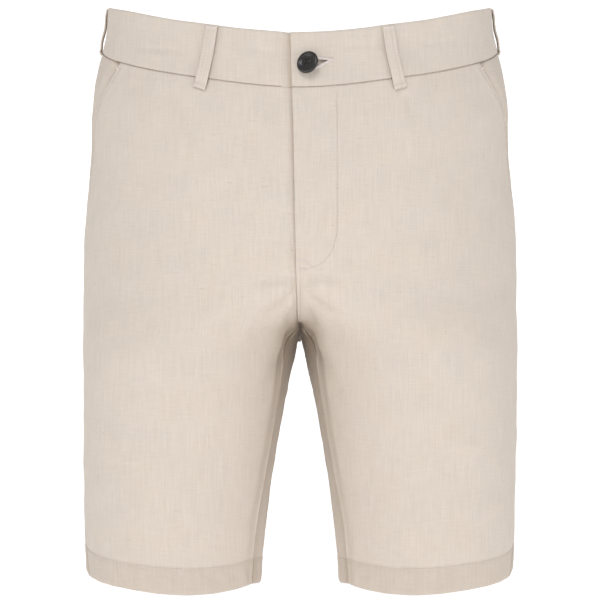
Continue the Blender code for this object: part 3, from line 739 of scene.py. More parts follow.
def finish_piece(obj, material, slot, *nodes):
    """Gives a piece its finish, and lets it ride and stand for its solids."""
    obj.data.materials.clear()
    obj.data.materials.append(material)
    if nodes:
        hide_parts(*nodes)
    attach(obj, BODY)


# ---------------------------------------------------------------- finishes


class Value:
    """A shader socket that takes part in Python expressions."""

    def __init__(self, finish, socket):
        self.finish, self.socket = finish, socket

    def maths(self, operation, *others):
        inputs = [self.socket] + [getattr(o, "socket", o) for o in others]
        node = self.finish.node("ShaderNodeMath", {"operation": operation}, dict(enumerate(inputs)))
        return Value(self.finish, node.outputs[0])

    def __add__(self, other):
        return self.maths("ADD", other)

    def __sub__(self, other):
        return self.maths("SUBTRACT", other)

    def __mul__(self, other):
        return self.maths("MULTIPLY", other)

    def __rsub__(self, other):
        return self.maths("MULTIPLY", -1).maths("ADD", other)

    __radd__ = __add__
    __rmul__ = __mul__


class Finish:
    """A material and the nodes that make it."""

    def __init__(self, name):
        self.material = bpy.data.materials.new(name)
        self.material.use_nodes = True
        self.tree = self.material.node_tree
        self.tree.nodes.clear()
        output = self.node("ShaderNodeOutputMaterial")
        self.shader = self.node("ShaderNodeBsdfPrincipled")
        self.tree.links.new(self.shader.outputs[0], output.inputs["Surface"])

    def node(self, kind, settings=None, sockets=None):
        node = self.tree.nodes.new(kind)
        for name, value in (settings or {}).items():
            if name == "stops":
                self.set_stops(node.color_ramp, value)
            else:
                setattr(node, name, value)
        for name, value in (sockets or {}).items():
            value = getattr(value, "socket", value)
            if isinstance(value, bpy.types.NodeSocket):
                self.tree.links.new(value, node.inputs[name])
            else:
                node.inputs[name].default_value = value
        return node

    @staticmethod
    def set_stops(ramp, stops):
        while len(ramp.elements) > 1:
            ramp.elements.remove(ramp.elements[-1])
        ramp.elements[0].position, ramp.elements[0].color = stops[0]
        for place, colour in stops[1:]:
            ramp.elements.new(place).color = colour

    def value(self, kind, settings=None, sockets=None, output=0):
        return Value(self, self.node(kind, settings, sockets).outputs[output])

    def mix(self, factor, first, second, blend="MIX"):
        settings = {"data_type": "RGBA", "blend_type": blend}
        node = self.node("ShaderNodeMix", settings, {0: factor, 6: first, 7: second})
        return Value(self, node.outputs[2])

    def noise(self, place, scale, detail=2, roughness=0.5, stretch=(1, 1, 1)):
        mapped = self.value("ShaderNodeMapping", {}, {"Vector": place, "Scale": stretch})
        sockets = {"Vector": mapped, "Scale": scale, "Detail": detail, "Roughness": roughness}
        return self.value("ShaderNodeTexNoise", {}, sockets)

    def set(self, **values):
        for name, value in values.items():
            socket = self.shader.inputs[name.replace("_", " ")]
            value = getattr(value, "socket", value)
            if isinstance(value, bpy.types.NodeSocket):
                self.tree.links.new(value, socket)
            else:
                socket.default_value = value

    def bump(self, height, distance, strength=1.0):
        sockets = {"Height": height, "Distance": distance, "Strength": strength}
        return self.value("ShaderNodeBump", {}, sockets)


def linen_finish(name, colour, look):
    """Plain-woven linen: fine uneven threads both ways, thicker ones here and there."""
    finish = Finish(name)
    place = finish.value("ShaderNodeUVMap", {"uv_map": "cloth"})
    # The painted shade and highlights laid on each sheet.
    shade = finish.value("ShaderNodeAttribute", {"attribute_name": "shade"}, output=2)
    upright = finish.noise(place, 1, 3, 0.6, (760, 34, 1))
    level = finish.noise(place, 1, 3, 0.6, (70, 900, 1))
    cloud = finish.noise(place, 46, 3, 0.55)
    fine = (upright - 0.5) * 0.75 + (level - 0.5) * 0.5
    slubs = [
        finish.value(
            "ShaderNodeMapRange",
            {"interpolation_type": "SMOOTHSTEP"},
            {"Value": finish.noise(place, 1, 2, 0.5, stretch), "From Min": low, "From Max": high},
        )
        for stretch, low, high in (((430, 26, 1), 0.6, 0.78), ((95, 640, 1), 0.62, 0.78))
    ]
    tone = (
        (fine * look.thread_contrast + (cloud - 0.5) * look.cloud_contrast)
        + slubs[0] * 0.035
        + slubs[1] * 0.04
        + 1.0
    )
    tint = finish.noise(place, 34, 2, 0.5)
    warm = tuple(c * k for c, k in zip(colour[:3], (1.01, 1.0, 0.985))) + (1,)
    cool = tuple(c * k for c, k in zip(colour[:3], (0.975, 0.99, 1.02))) + (1,)
    base = finish.mix(tint, warm, cool)
    # The painted shade darkens blue most and red least, a painted warm bounce of light in the
    # cloth's shade.
    shades = {i: tone * shade.maths("POWER", power) for i, power in enumerate((1, 1.18, 1.4))}
    tones = finish.value("ShaderNodeCombineColor", {}, shades)
    finish.set(Base_Color=finish.mix(1.0, base, tones, "MULTIPLY"))
    finish.set(Roughness=0.9, Sheen_Weight=0.12, Sheen_Roughness=0.5, Specular_IOR_Level=0.25)
    height = fine * 0.8 + slubs[0] * 0.5 + slubs[1] * 0.6
    finish.set(Normal=finish.bump(height, look.thread_height))
    return finish.material


def thread_finish(name, colour):
    """Spun sewing thread, a little uneven along its length."""
    finish = Finish(name)
    place = finish.value("ShaderNodeTexCoord", {}, output=3)
    uneven = finish.noise(place, 900, 2)
    light = tuple(min(1, c * 1.12) for c in colour[:3]) + (1,)
    dark = tuple(c * 0.86 for c in colour[:3]) + (1,)
    finish.set(Base_Color=finish.mix(uneven, dark, light), Roughness=0.75, Sheen_Weight=0.1)
    finish.set(Normal=finish.bump(uneven, 0.0001, 0.5))
    return finish.material


def button_finish(colour):
    """Dark moulded plastic with faint streaks, satin on the face."""
    finish = Finish("button_plastic")
    place = finish.value("ShaderNodeTexCoord", {}, output=3)
    streak = finish.noise(place, 180, 4, 0.6, (1, 1, 3))
    warm = (colour[0] * 1.5, colour[1] * 1.25, colour[2] * 1.05, 1)
    cool = (colour[0] * 0.75, colour[1] * 0.85, colour[2], 1)
    finish.set(Base_Color=finish.mix(streak, cool, warm))
    finish.set(Roughness=streak * 0.12 + 0.17)
    finish.set(Normal=finish.bump(streak, 0.0001, 0.3), Specular_IOR_Level=0.5)
    return finish.material


def stage_finish():
    """A pale sweep that glows a little, so that it stays near white."""
    finish = Finish("pale_sweep")
    place = finish.value("ShaderNodeTexCoord", {}, output=3)
    faint = finish.noise(place, 3, 2)
    finish.set(Base_Color=finish.mix(faint, (0.8, 0.8, 0.8, 1), (0.83, 0.83, 0.83, 1)))
    finish.set(Roughness=0.9, Emission_Color=(1, 1, 1, 1), Emission_Strength=0.62)
    return finish.material


# ---------------------------------------------------------------- sewing


class Stitches:
    """Many stitches of one thread, copied from one stitch modelled once, as one mesh."""

    def __init__(self, name):
        self.name, self.points, self.faces, self.count = name, [], [], 0
        self.model, self.model_faces = stitch_model()

    def lay(self, centres, runs, normals, length, thick, sink=0.0):
        """Stitches at these places, each along its run, sunk a little into the cloth."""
        runs = runs / np.linalg.norm(runs, axis=1)[:, None]
        sides = np.cross(normals, runs)
        sides /= np.linalg.norm(sides, axis=1)[:, None]
        length = np.broadcast_to(length, len(centres))
        x = self.model[None, :, 0] * length[:, None] / 2
        y = self.model[:, 1] * thick / 2
        z = self.model[:, 2] * thick / 2 - sink
        points = (
            centres[:, None, :]
            + runs[:, None, :] * x[..., None]
            + sides[:, None, :] * y[None, :, None]
            + normals[:, None, :] * z[None, :, None]
        )
        starts = self.count + np.arange(len(centres)) * len(self.model)
        self.faces += [[v + start for v in face] for start in starts for face in self.model_faces]
        self.points.append(points.reshape(-1, 3))
        self.count += len(centres) * len(self.model)

    def line(self, points, normals, pitch, length, thick, sink=0.0, slant=0.0):
        """An even row of stitches along a line on the cloth."""
        arc = arc_along(points)
        number = max(1, int(arc[-1] / pitch))
        at = (np.arange(number) + 0.5) * arc[-1] / number
        centre, up = found_at(at, arc, points), found_at(at, arc, normals)
        up /= np.linalg.norm(up, axis=1)[:, None]
        runs = found_at(at + 0.3, arc, points) - found_at(at - 0.3, arc, points)
        if slant:
            runs = runs / np.linalg.norm(runs, axis=1)[:, None] + np.cross(up, runs) * slant
        uneven = 1 + 0.08 * np.sin(np.arange(number) * 2.4)
        self.lay(centre, runs, up, length * uneven, thick, sink)

    def bar(self, centre, run, normal, long, wide, thick):
        """A bar tack: close stitches side by side, across the way it runs."""
        run = run / np.linalg.norm(run)
        side = np.cross(normal, run)
        number = int(long / (thick * 0.72))
        offsets = (np.arange(number) - (number - 1) / 2) * thick * 0.72
        centres = centre[None, :] + run[None, :] * offsets[:, None]
        copies = np.ones((number, 1))
        self.lay(centres, side[None, :] * copies, normal[None, :] * copies, wide, thick)

    def to_object(self):
        mesh = bpy.data.meshes.new(self.name)
        mesh.from_pydata((np.concatenate(self.points) * MM).tolist(), [], self.faces)
        obj = link(self.name, mesh)
        obj.data.shade_smooth()
        return obj


def stitch_model():
    """One stitch, 2 long and 2 thick, its ends bent down into the cloth."""
    if not STITCH:
        bpy.ops.object.select_all(action="DESELECT")
        bpy.ops.mesh.primitive_uv_sphere_add(
            segments=6, ring_count=5, radius=1, rotation=(0, math.pi / 2, 0)
        )
        obj = bpy.context.object
        bpy.ops.object.transform_apply(location=True, rotation=True, scale=True)
        points = np.array([v.co[:] for v in obj.data.vertices])
        points[:, 2] += 0.5 - 0.9 * points[:, 0] ** 2
        STITCH.append((points, [list(p.vertices) for p in obj.data.polygons]))
        bpy.ops.object.delete()
    return STITCH[0]


# ---------------------------------------------------------------- shapes of the panels


def below_stitching(t, s):
    """Millimetres below the hem's row of stitches."""
    return form(t, np.full_like(t, HEM_STITCH))[:, 2] - form(t, s)[:, 2]


def hem_relief(t, s):
    """The turned-up hem stands out a little, with a groove and pulls at its row of stitches."""
    below = below_stitching(t, s)
    run = t * MM_PER_T
    groove = -0.32 * bell(below, 0.9)
    stand = 0.35 * smooth_step((below - 0.3) / 1.4)
    pull = 0.18 * np.sin(run / 2.9 + 1.1 * np.sin(run / 13)) * np.exp(-np.abs(below) / 4)
    twist = np.sin((run + 1.1 * below) / 4.4 + 1.5 * np.sin(run / 31)) * smooth_step(below / 4)
    return groove + stand + pull * smooth_step(np.abs(below) / 1.2) + 0.25 * twist * (s > 15)


def hem_shade(t, s):
    # The turned-up hem band is darker, as painted shade and for its doubled cloth, with painted
    # shade in the groove of its stitching.
    below = below_stitching(t, s)
    return -0.085 * smooth_step(below / 1.5) - 0.05 * bell(below, 1.1)


def line_relief(points, line, wide, deep):
    """A soft groove or ridge along an open line of places seen from the front."""
    best = np.full(len(points), 1e9)
    for (x0, z0), (x1, z1) in zip(line, line[1:]):
        run = np.array([x1 - x0, z1 - z0], float)
        u = ((points[:, 0] - x0) * run[0] + (points[:, 2] - z0) * run[1]) / (run @ run)
        u = np.clip(u, 0, 1)
        gap = np.hypot(points[:, 0] - x0 - u * run[0], points[:, 2] - z0 - u * run[1])
        best = np.minimum(best, gap)
    return deep * bell(best, wide)


def inseam_relief(t, s):
    """A ridge of cloth on the front along the inseam, with a soft trough beside it."""
    d = t * MM_PER_T
    leg = smooth_step((s - CROTCH_ROW + 0.3) / 1.2)
    fading = 1 - 0.55 * smooth_step((s - 13.5) / 3)
    wave = 1 + 0.3 * np.sin(s * 5.1)
    trough = -1.3 * bell(d - 9, 5.5) + 0.7 * bell(d - 19, 7)
    return trough * leg * fading * wave + 0.45 * bell(d, 1.4) * leg


def left_front_relief(t, s):
    points = form(t, s)
    behind = line_relief(points, FLY_STITCHING, 0.9, -0.22) * (t < 0.2)
    facing = 0.25 * smooth_step((30 - points[:, 0]) / 2) * smooth_step((points[:, 2] + 229) / 3)
    return hem_relief(t, s) + behind + facing * (s < FLY_ROW) + inseam_relief(t, s)


def right_front_relief(t, s):
    return hem_relief(t, s) + drop_of_right(1.7, t, s) + inseam_relief(t, s)


def front_shade(t, s):
    """Painted shade in the crotch's fork and beside the inseam, and a painted highlight on the
    inseam's turned edge.
    """
    d = t * MM_PER_T
    leg = smooth_step((s - CROTCH_ROW) / 0.4)
    inseam = 0.24 * bell(d, 1.2) - 0.07 * bell(d - 8, 5)
    fork = -0.16 * bell(s - CROTCH_ROW, 1.1) * bell(d, 15)
    fork -= 0.11 * bell(s - CROTCH_ROW, 1.9) * bell(d, 60)
    return hem_shade(t, s) + inseam * leg + fork


def lap_shade(t, s):
    """A painted shadow on the cloth just beside the left side's lapped edge."""
    edge = t_round(lap_nominal(s), s)
    d = (t - edge) * MM_PER_T
    return -0.2 * bell(d, 1.8) * (s < LAP_ENDS + FLY_CLOSE)


def back_shade(t, s):
    # Painted shade on the back of each leg, deepest beside the inseam and just under the crotch,
    # added to the hem's.
    d = (1 - t) * MM_PER_T
    leg = smooth_step((s - CROTCH_ROW + 2.5) / 5)
    under = 0.4 * bell(s - CROTCH_ROW - 0.2, 0.9) * bell(d, 40)
    return hem_shade(t, s) - (0.12 * bell(d, 9) + 0.05) * leg - under


def side_relief(t, s):
    """The pocket's side piece lies under the front and comes up level at the side seam."""
    past = line_at(POCKET_EDGE, s) + arc_as_t(2, np.full_like(s, 0.4), s)
    risen = smooth_step((t - past) / arc_as_t(POCKET_RISE, np.full_like(s, 0.4), s))
    fold = 0.8 * np.sin((t - 0.4) * MM_PER_T / 1.9 + s * 0.9) * smooth_step((s - 2.2) / 0.5)
    return -2.8 * (1 - risen) + fold * risen * (1 - 0.4 * risen)


def side_shade(t, s):
    """Painted shade on the side piece, a little all over and most where it goes in under the
    pocket's edge.
    """
    d = (t - line_at(POCKET_EDGE, s)) * POCKET_MM_PER_T
    return -0.05 - 0.3 * bell(np.clip(d, 0, 99), 3.2)


def front_sheet(name, sign):
    s = rows_down(2, HEM, 0.2, 0.8, 2.4)
    if sign > 0:
        lap, pitch, lift = t_round(fly_lap(s), s), (0.8, 2.4), left_front_relief
        start = np.where(lap > 0, -lap, 0)
    else:
        pitch, lift = (0.8, 2.2), right_front_relief
        start = -t_round(UNDERLAP * smooth_step((FLY_ROW - 0.3 - s) / 0.8), s)
    on_leg = smooth_step((s - CROTCH_ROW) / 0.4)[:, None]
    on_side = smooth_step((s - POCKET_EDGE[-1].s) / 0.2)[:, None]
    edges, sewn = (0.5 - 0.45 * on_leg, 0.9, 0.2, 0.5), (on_leg, on_side, 1, 0)
    sheet = Sheet(name, sign, s, start, front_edge(s), pitch, lift, edges, sewn)
    if sign > 0:
        return sheet.darken(front_shade)
    return sheet.darken(lambda t, s: front_shade(t, s) + lap_shade(t, s))


def back_sheet(name, sign):
    s = rows_down(2, HEM, 0.8, 0.8, 2.6)
    side, end = line_at(SIDE_SEAM, s), np.ones_like(s)
    on_leg = smooth_step((s - CROTCH_ROW) / 0.4)[:, None]
    edges, sewn = (0.9, 0.8 - 0.6 * on_leg, 0.2, 0.5), (1, 1, 1, 0)
    sheet = Sheet(name, sign, s, side, end, (0.8, 2.6), hem_relief, edges, sewn)
    return sheet.darken(back_shade)


def pocket_side_sheet(name, sign):
    s = rows_down(2, 5.95, 0.4, 0.8, 1.8)
    hidden = front_edge(s) - arc_as_t(POCKET_HIDDEN, np.full_like(s, 0.4), s)
    end, edges = line_at(SIDE_SEAM, s), (0, 0.9, 0.4, 0)
    sheet = Sheet(name, sign, s, hidden, end, (0.8, 1.6), side_relief, edges, (0, 1, 1, 0))
    return sheet.darken(side_shade)


def band_sheet(name, sign):
    s = rows_down(0, 2, 0.3, 0.6, 1.5)
    start = -t_round(fly_lap(s) if sign > 0 else np.full_like(s, UNDERLAP), s)

    def lift(t, s):
        drop = drop_of_right(2.75, t, s) if sign < 0 else 0
        return BAND_PROUD + drop + 0.12 * np.sin(t * 90 + 2 * np.sin(t * 23)) * (2 - s)

    edges, sewn = (0.6, 0.6, 0.7, 0.2), (0, 1, 0, 0.5)
    sheet = Sheet(name, sign, s, start, np.ones_like(s), (0.6, 2.0), lift, edges, sewn)
    return sheet if sign > 0 else sheet.darken(lap_shade)


def button_place():
    """The band's outer face behind the button, and the way it faces."""
    s = np.linspace(0.3, 1.7, 60)
    t = t_round(np.full_like(s, BUTTON_X), s)
    points = form(t, s)
    best = int(np.argmin(np.abs(points[:, 2] - BUTTON_Z)))
    normal = normals_at(t[[best]], s[[best]])[0]
    return points[best] + normal * BAND_PROUD, normal


def hole_half_height(x):
    """Half the height of the spread buttonhole at each x."""
    shut = np.clip((HOLE_TO - x) / (HOLE_TO - HOLE_WIDE_TO), 0, 1)
    return HOLE_HIGH / 2 * shut**0.9


def in_button_hole(points):
    middle = button_place()[0][2] + (points[:, 0] - BUTTON_X) * HOLE_SLOPE
    inside = (points[:, 0] > HOLE_FROM) & (points[:, 0] < HOLE_TO) & (points[:, 1] < 0)
    return inside & (np.abs(points[:, 2] - middle) < hole_half_height(points[:, 0]) + 0.35)


def loop_sheet_points(loop):
    """The strap's outer face: folded under at the top, standing off the band, and tacked below."""
    share = np.linspace(0, 1, 64)
    s = loop.s_top + (loop.s_low - loop.s_top) * share
    t = loop.t_top + (loop.t_low - loop.t_top) * share
    centre = form(t, s)
    normal = normals_at(np.minimum(t, 0.995), s)
    if loop.t_top > 0.99:
        centre[:, 0] = 0
        normal[:, 0] = 0
        normal /= np.linalg.norm(normal, axis=1)[:, None]
    centre[:, 0] *= loop.sign
    normal[:, 0] *= loop.sign
    rise = np.sin(math.pi * np.clip(share * 1.02, 0, 1)) ** 0.6
    seat = BAND_PROUD * np.clip(1 - (s - WAIST_SEAM) * 4, 0, 1)
    wave = 0.5 * np.sin(share * 9 + 1) * rise
    fold = 1.2 * bell(share - 0.95, 0.04)
    lift = 1.7 + seat + loop.stand * rise + wave + fold
    across = np.cross(normal, np.gradient(centre, axis=0))
    across /= np.linalg.norm(across, axis=1)[:, None]
    wide = LOOP_WIDE / 2 * (1 + 0.06 * bell(share - 0.95, 0.05))
    return centre, normal, across, lift, wide, share


def strap_object(loop):
    """A belt loop with its long edges rolled under, its pattern laid out in metres."""
    centre, normal, across, lift, wide, _ = loop_sheet_points(loop)
    places = np.array([-1, -0.94, -0.84, -0.7, -0.5, -0.25, 0, 0.25, 0.5, 0.7, 0.84, 0.94, 1])
    roll = -0.75 * np.clip((np.abs(places) - 0.82) / 0.18, 0, 1) ** 2
    groove = -0.14 * bell(places - LOOP_STITCHING * loop.sign, 0.08)
    points = (
        centre[:, None, :]
        + normal[:, None, :] * (lift[:, None] + (roll + groove)[None, :])[..., None]
        + across[:, None, :] * (wide[:, None] * places[None, :])[..., None]
    )
    rows, columns = points.shape[:2]
    x = places[None, :] * LOOP_WIDE / 2 + loop.t_top * 900
    uv = np.stack(np.broadcast_arrays(x, -arc_along(centre)[:, None]), -1)
    # A painted highlight along the loop's rolled edges.
    shade = np.ones((rows, columns)) + 0.04 * (np.abs(places) > 0.9)
    return cloth_object(loop.name, points, grid_faces(rows, columns), uv, shade, LOOP_WALL)


# ---------------------------------------------------------------- the add-on


def colour_property(name, description, default):
    limits = {"size": 3, "subtype": "COLOR", "min": 0, "max": 1}
    return bpy.props.FloatVectorProperty(
        name=name, description=description, default=default, **limits
    )


def number_property(name, description, default, least=0, **more):
    return bpy.props.FloatProperty(
        name=name, description=description, default=default, min=least, **more
    )


def length_property(name, description, default, least):
    return number_property(name, description, default, least, unit="LENGTH", precision=5)


class ShortsCloth(bpy.types.PropertyGroup):
    """The linen."""

    colour: colour_property("Linen", "Colour of the linen", (0.676, 0.596, 0.518))
    thread_contrast: number_property(
        "Thread Contrast", "How much the linen's threads differ in tone", 0.3
    )
    cloud_contrast: number_property(
        "Cloud Contrast", "How much the dye varies over a few centimetres", 0.07
    )
    thread_height: length_property(
        "Thread Height", "How far the thicker threads stand out of the cloth", 0.00035, 0
    )
    wall: length_property(
        "Cloth Thickness", "Thickness of one layer with its finishing", 0.0011, 0.0003
    )


class ShortsSewing(bpy.types.PropertyGroup):
    """The threads."""

    # Dark brown: the thread's colour with the shade of its stitch holes painted in.
    thread: colour_property("Thread", "Colour of the sewing thread", (0.09, 0.058, 0.042))
    # Darker still: the thread's colour with the painted shade of the seam's groove.
    seam_thread: colour_property(
        "Waist Seam Thread",
        "Colour of the dark thread sewn into the groove of the waist seam",
        (0.13, 0.075, 0.052),
    )
    button_thread: colour_property(
        "Button Thread", "Colour of the dark thread that holds the button", (0.012, 0.013, 0.017)
    )
    hole_thread: colour_property(
        "Buttonhole Thread", "Colour of the thread round the buttonhole", (0.78, 0.7, 0.67)
    )
    pitch: length_property(
        "Stitch Pitch", "From one stitch to the next on the topstitched lines", 0.0026, 0.001
    )
    thick: length_property("Thread Thickness", "Thickness of the sewing thread", 0.00042, 0.0001)


class ShortsButton(bpy.types.PropertyGroup):
    """The waistband button."""

    across: length_property("Diameter", "Diameter of the button", 0.019, 0.008)
    thick: length_property("Thickness", "Thickness of the button at its rim", 0.0034, 0.001)
    colour: colour_property("Plastic", "Colour of the button", (0.02, 0.0195, 0.02))


class ShortsStage(bpy.types.PropertyGroup):
    """The floor, the light and the camera."""

    camera_distance: length_property(
        "Camera Distance", "From the camera to the middle of the waist", 1.65, 0.5
    )
    camera_height: bpy.props.FloatProperty(
        name="Camera Height",
        description="Height of the camera, from the top edge of the waistband at the sides",
        default=-0.2555,
        unit="LENGTH",
    )
    lens: number_property("Focal Length", "Focal length of the camera on a 36 mm frame", 113.1, 20)
    brightness: number_property("Surround Brightness", "How bright the white surround is", 0.41)


def rgba(colour):
    return (*colour, 1.0)


def linen():
    """The linen's material, made once."""
    if "linen_cloth" in bpy.data.materials:
        return bpy.data.materials["linen_cloth"]
    look = bpy.context.scene.shorts_cloth
    return linen_finish("linen_cloth", rgba(look.colour), look)


def thread(name):
    """The material of one of the threads, made once."""
    if name in bpy.data.materials:
        return bpy.data.materials[name]
    return thread_finish(name, rgba(getattr(bpy.context.scene.shorts_sewing, name)))


def sheet_called(name):
    if name not in SHEETS:
        raise RuntimeError(f"{name} isn't made yet")
    return SHEETS[name]


def add_sheet(sheet, area_of_cut, flat, hangs_from, wall, **more):
    """Makes a sheet's object and gives it its finish."""
    SHEETS[sheet.name] = sheet
    obj = sheet.to_object(wall, **more)
    obj.name = sheet.name + "_cloth"
    finish_piece(obj, linen(), "linen", sheet.name)


def places_on(sheet, x, z):
    """t and s of the sheet's points nearest to places seen from the front."""
    near = (sheet.t < 0.3) & (sheet.s[:, None] < 12)
    points = sheet.points[near]
    t = sheet.t[near]
    s = np.broadcast_to(sheet.s[:, None], sheet.t.shape)[near]
    found = []
    for px, pz in zip(x, z):
        gap = np.hypot(points[:, 0] - px, points[:, 2] - pz)
        close = np.argsort(gap)[:12]
        weights = 1 / (gap[close] + 0.05) ** 2
        weights /= weights.sum()
        fit = np.stack([np.ones(12), points[close, 0], points[close, 2]], axis=1)
        root = np.sqrt(weights)[:, None]
        both = np.stack([t[close], s[close]], axis=1)
        answer = np.linalg.lstsq(fit * root, both * root, rcond=None)[0]
        found.append(np.array([1, px, pz]) @ answer)
    found = np.array(found)
    return found[:, 0], found[:, 1]


class SHORTS_OT_fronts(bpy.types.Operator):
    """Make the two fronts, the left lapping over the right at the fly"""

    bl_idname = "shorts.fronts"
    bl_label = "Fronts"

    def execute(self, context):
        wall = context.scene.shorts_cloth.wall / MM
        for sheet in (front_sheet("front_left", 1), front_sheet("front_right", -1)):
            band = sheet.name.replace("front", "waistband")
            add_sheet(sheet, 0.1, (0.26, 0.47), [band], wall, hem_wall=wall * HEM_LAYERS)
        return {"FINISHED"}


class SHORTS_OT_backs(bpy.types.Operator):
    """Make the two backs"""

    bl_idname = "shorts.backs"
    bl_label = "Backs"

    def execute(self, context):
        wall = context.scene.shorts_cloth.wall / MM
        for name, sign in (("back_left", 1), ("back_right", -1)):
            band = name.replace("back", "waistband")
            sheet = back_sheet(name, sign)
            add_sheet(sheet, 0.14, (0.36, 0.5), [band], wall, hem_wall=wall * HEM_LAYERS)
        return {"FINISHED"}


class SHORTS_OT_pocket_sides(bpy.types.Operator):
    """Make the side pieces that show in the slanted pocket mouths"""

    bl_idname = "shorts.pocket_sides"
    bl_label = "Pocket Sides"

    def execute(self, context):
        for name, sign in (("pocket_side_left", 1), ("pocket_side_right", -1)):
            band = name.replace("pocket_side", "waistband")
            add_sheet(pocket_side_sheet(name, sign), 0.004, (0.06, 0.12), [band], SIDE_WALL)
        return {"FINISHED"}


class SHORTS_OT_waistband(bpy.types.Operator):
    """Make the waistband's two halves, the left one with its buttonhole"""

    bl_idname = "shorts.waistband"
    bl_label = "Waistband"

    def execute(self, context):
        left, right = band_sheet("waistband_left", 1), band_sheet("waistband_right", -1)
        add_sheet(left, None, (0.42, 0.045), [], BAND_WALL, hole=in_button_hole)
        add_sheet(right, None, (0.43, 0.045), [], BAND_WALL)
        return {"FINISHED"}


class SHORTS_OT_belt_loops(bpy.types.Operator):
    """Make the five belt loops with their stitching"""

    bl_idname = "shorts.belt_loops"
    bl_label = "Belt Loops"

    def execute(self, context):
        sewing = context.scene.shorts_sewing
        pitch, thick = sewing.pitch / MM, sewing.thick / MM
        for loop in LOOPS:
            obj = strap_object(loop)
            obj.name = loop.name + "_strap"
            finish_piece(obj, linen(), "linen", loop.name)
            threads = Stitches(loop.name + "_stitches")
            centre, normal, across, lift, wide, share = loop_sheet_points(loop)
            line = centre + normal * (lift - 0.02)[:, None]
            line = line + across * (wide * LOOP_STITCHING * loop.sign)[:, None]
            threads.line(line, normal, pitch, 1.1, thick * 1.3, -0.1)
            sewn = threads.to_object()
            finish_piece(sewn, thread("thread"), "thread")
            tacks = Stitches(loop.name + "_tacks")
            i = int(LOOP_TACK * (len(share) - 1))
            at = centre[i] + normal[i] * (lift[i] + 0.1)
            tacks.bar(at, across[i], normal[i], LOOP_WIDE * 0.8, 1.7, 0.55)
            tacked = tacks.to_object()
            finish_piece(tacked, thread("hole_thread"), "thread")
        return {"FINISHED"}


class SHORTS_OT_seams(bpy.types.Operator):
    """Sew the waist seam, the fly, the pockets, the crotch and the hems"""

    bl_idname = "shorts.seams"
    bl_label = "Seams"

    def execute(self, context):
        sewing = context.scene.shorts_sewing
        pitch, thick = sewing.pitch / MM, sewing.thick / MM
        self.waist_seam()
        rows, tacks = Stitches("topstitching"), Stitches("bar_tacks")
        for name in ("front_left", "front_right"):
            self.pocket_mouth(rows, tacks, sheet_called(name), pitch, thick)
        for name in ("front_left", "front_right", "back_left", "back_right"):
            sheet = sheet_called(name)
            row = np.full(300, float(HEM_STITCH))
            first, last = (np.interp(HEM_STITCH, sheet.s, sheet.t[:, i]) for i in (0, -1))
            points, normals = sheet.at(np.linspace(first, last, 300), row)
            rows.line(points, normals, pitch * 0.9, 1.25, thick * 1.5, -0.14)
        self.fly(rows, tacks, sheet_called("front_left"), pitch, thick)
        finish_piece(rows.to_object(), thread("thread"), "thread")
        finish_piece(tacks.to_object(), thread("hole_thread"), "thread")
        return {"FINISHED"}

    def waist_seam(self):
        """Short stitches in the groove between the waistband and the cloth below, dark to paint the
        groove's shade into the thread.
        """
        dark = Stitches("waist_seam_stitches")
        for name, first in (("left", -0.022), ("right", 0.028)):
            t = np.linspace(first, 0.998, 600)
            points, normals = sheet_called("waistband_" + name).at(t, np.full_like(t, WAIST_SEWN))
            dark.line(points + normals * 0.05, normals, 2.2, 1.15, 0.72)
        finish_piece(dark.to_object(), thread("seam_thread"), "thread")

    def pocket_mouth(self, rows, tacks, sheet, pitch, thick):
        """A row beside the pocket's edge, tacked at both ends."""
        s = np.linspace(2.2, 5.75, 140)
        inside = front_edge(s) - arc_as_t(POCKET_STITCHING, np.full_like(s, 0.36), s)
        points, normals = sheet.at(inside, s)
        rows.line(points, normals, pitch * 0.9, 1.25, thick * 1.45, -0.14)
        for place in (2.3, 5.35):
            s = np.array([place, place + 0.05])
            t = front_edge(s) - arc_as_t(3, np.full_like(s, 0.36), s)
            points, normals = sheet.at(t, s)
            across = np.cross(normals[0], points[1] - points[0])
            tacks.bar(points[0] + normals[0] * 0.15, across, normals[0], 5.4, 1.8, 0.55)

    def fly(self, rows, tacks, sheet, pitch, thick):
        """The curved row that holds the facing, its slanted tack and the row below it."""
        points = np.array(FLY_STITCHING)
        arc = arc_along(points)
        at = np.linspace(0, arc[-1], 400)
        x = curve_through(arc, points[:, 0], at)
        z = curve_through(arc, points[:, 1], at)
        t, s = places_on(sheet, x, z)
        points, normals = sheet.at(t, s)
        rows.line(points, normals, FLY_PITCH, 1.0, thick * 1.55, -0.16)
        t, s = places_on(sheet, np.linspace(-1.6, 10.5, 9), np.linspace(-221.4, -228.7, 9))
        points, normals = sheet.at(t, s)
        tacks.line(points, normals, 0.6, 1.2, 0.6, -0.1, 4)
        s = np.linspace(8.1, LAP_ENDS, 60)
        points, normals = sheet.at(np.zeros_like(s), s)
        rows.line(points, normals, FLY_PITCH, 0.9, thick * 1.3, -0.12)


